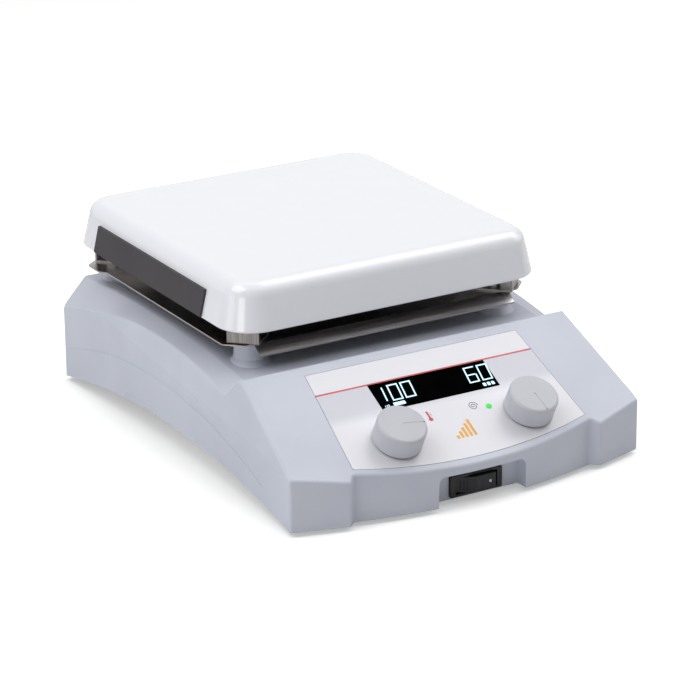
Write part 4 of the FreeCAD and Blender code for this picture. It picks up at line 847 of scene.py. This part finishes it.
# %% Cut one screw and copy it
RECESS_WIDTH, RECESS_SPAN, RECESS_DEPTH = 0.9 * MM, 4.2 * MM, 1.3 * MM
RECESS_TAPER = (0.45, 0.6, 1.0)
HEAD_RADIUS, HEAD_HIGH, HEAD_ROUNDING, ROUNDING_STEPS = 4.0 * MM, 2.4 * MM, 0.35, 4
BASE_SHANK, POST_SHANK = 1.7 * MM, 2.0 * MM
SMOOTH_UNDER = math.radians(35.0)


def cross_cutter(at, looks):
    """Two crossed bars, narrowed towards their inner end."""
    bars = []
    for angle in (0.0, math.pi / 2):
        clear_selection()
        bpy.ops.mesh.primitive_cube_add(size=1.0)
        bar = bpy.context.object
        bar.scale = (RECESS_SPAN, RECESS_WIDTH, 2 * RECESS_DEPTH)
        bpy.ops.object.transform_apply(location=False, rotation=False, scale=True)
        edit(bar, "FACE", lambda face: face.normal.z * looks < -FACING)
        bpy.ops.transform.resize(value=RECESS_TAPER)
        bpy.ops.object.mode_set(mode="OBJECT")
        bar.rotation_euler.z = angle + math.pi / 4
        bars.append(bar)
    cutter = joined(bars)
    cutter.location = at
    return cutter


def take_away(piece, cutter):
    """Cut one mesh out of another and drop the cutter."""
    hold(piece)
    cut = piece.modifiers.new("recess", "BOOLEAN")
    cut.operation = "DIFFERENCE"
    cut.use_self = True
    cut.object = cutter
    bpy.ops.object.modifier_apply(modifier=cut.name)
    bpy.data.objects.remove(cutter)


def cap_screw(head, tip, shank_radius, looks):
    """A screw along z: a shank from head to tip, and a head whose outer rim is rounded over."""
    clear_selection()
    bpy.ops.mesh.primitive_cylinder_add(vertices=ROUND_CORNERS, radius=shank_radius,
                                        depth=abs(tip - head), location=(0.0, 0.0, (head + tip) / 2))
    screw = bpy.context.object
    bpy.ops.object.transform_apply(location=True, rotation=False, scale=False)
    edit(screw, "FACE", lambda face: face.normal.z * looks > FACING)
    bpy.ops.mesh.extrude_region_move(TRANSFORM_OT_translate={"value": (0.0, 0.0, 0.0)})
    bpy.ops.transform.resize(value=(HEAD_RADIUS / shank_radius, HEAD_RADIUS / shank_radius, 1.0))
    bpy.ops.mesh.extrude_region_move(TRANSFORM_OT_translate={"value": (0.0, 0.0, looks * HEAD_HIGH)})
    bpy.ops.mesh.bevel(offset=HEAD_ROUNDING * HEAD_HIGH, segments=ROUNDING_STEPS, affect="EDGES")
    bpy.ops.mesh.select_all(action="SELECT")
    bpy.ops.mesh.normals_make_consistent(inside=False)
    bpy.ops.object.mode_set(mode="OBJECT")
    take_away(screw, cross_cutter((0.0, 0.0, head + looks * HEAD_HIGH), looks))
    return screw


def screw_set(name, node, places, screw):
    """Copies of a screw at these places, in the stead of the plain node."""
    copies = []
    for x, y in places:
        twin = copy_of(screw)
        twin.location = (x, y, 0.0)
        copies.append(twin)
    bpy.data.objects.remove(screw)
    whole = settle(joined(copies), name, zinc_plate, "housing", Matrix.Identity(4))
    hold(whole)
    bpy.ops.object.shade_smooth_by_angle(angle=SMOOTH_UNDER)
    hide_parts(node)


def corner_places(low, high):
    """The middles of four screws whose heads stand in the corners of a box."""
    return [(x, y) for x in (low.x + HEAD_RADIUS, high.x - HEAD_RADIUS)
            for y in (low.y + HEAD_RADIUS, high.y - HEAD_RADIUS)]


low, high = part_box("base_screws")
base_screw = cap_screw(low.z + HEAD_HIGH, high.z, BASE_SHANK, -1.0)
screw_set("base_cross_screws", "base_screws", corner_places(low, high), base_screw)
low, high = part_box("bracket_screws")
post_screw = cap_screw(high.z - HEAD_HIGH, low.z, POST_SHANK, 1.0)
screw_set("bracket_cross_screws", "bracket_screws", corner_places(low, high), post_screw)

# %% [markdown]
# ## Finish
# The dressed object must be no larger than the model it stands for. The last line closes edit mode
# and lets go of everything.

# %% Finish
clear_selection()
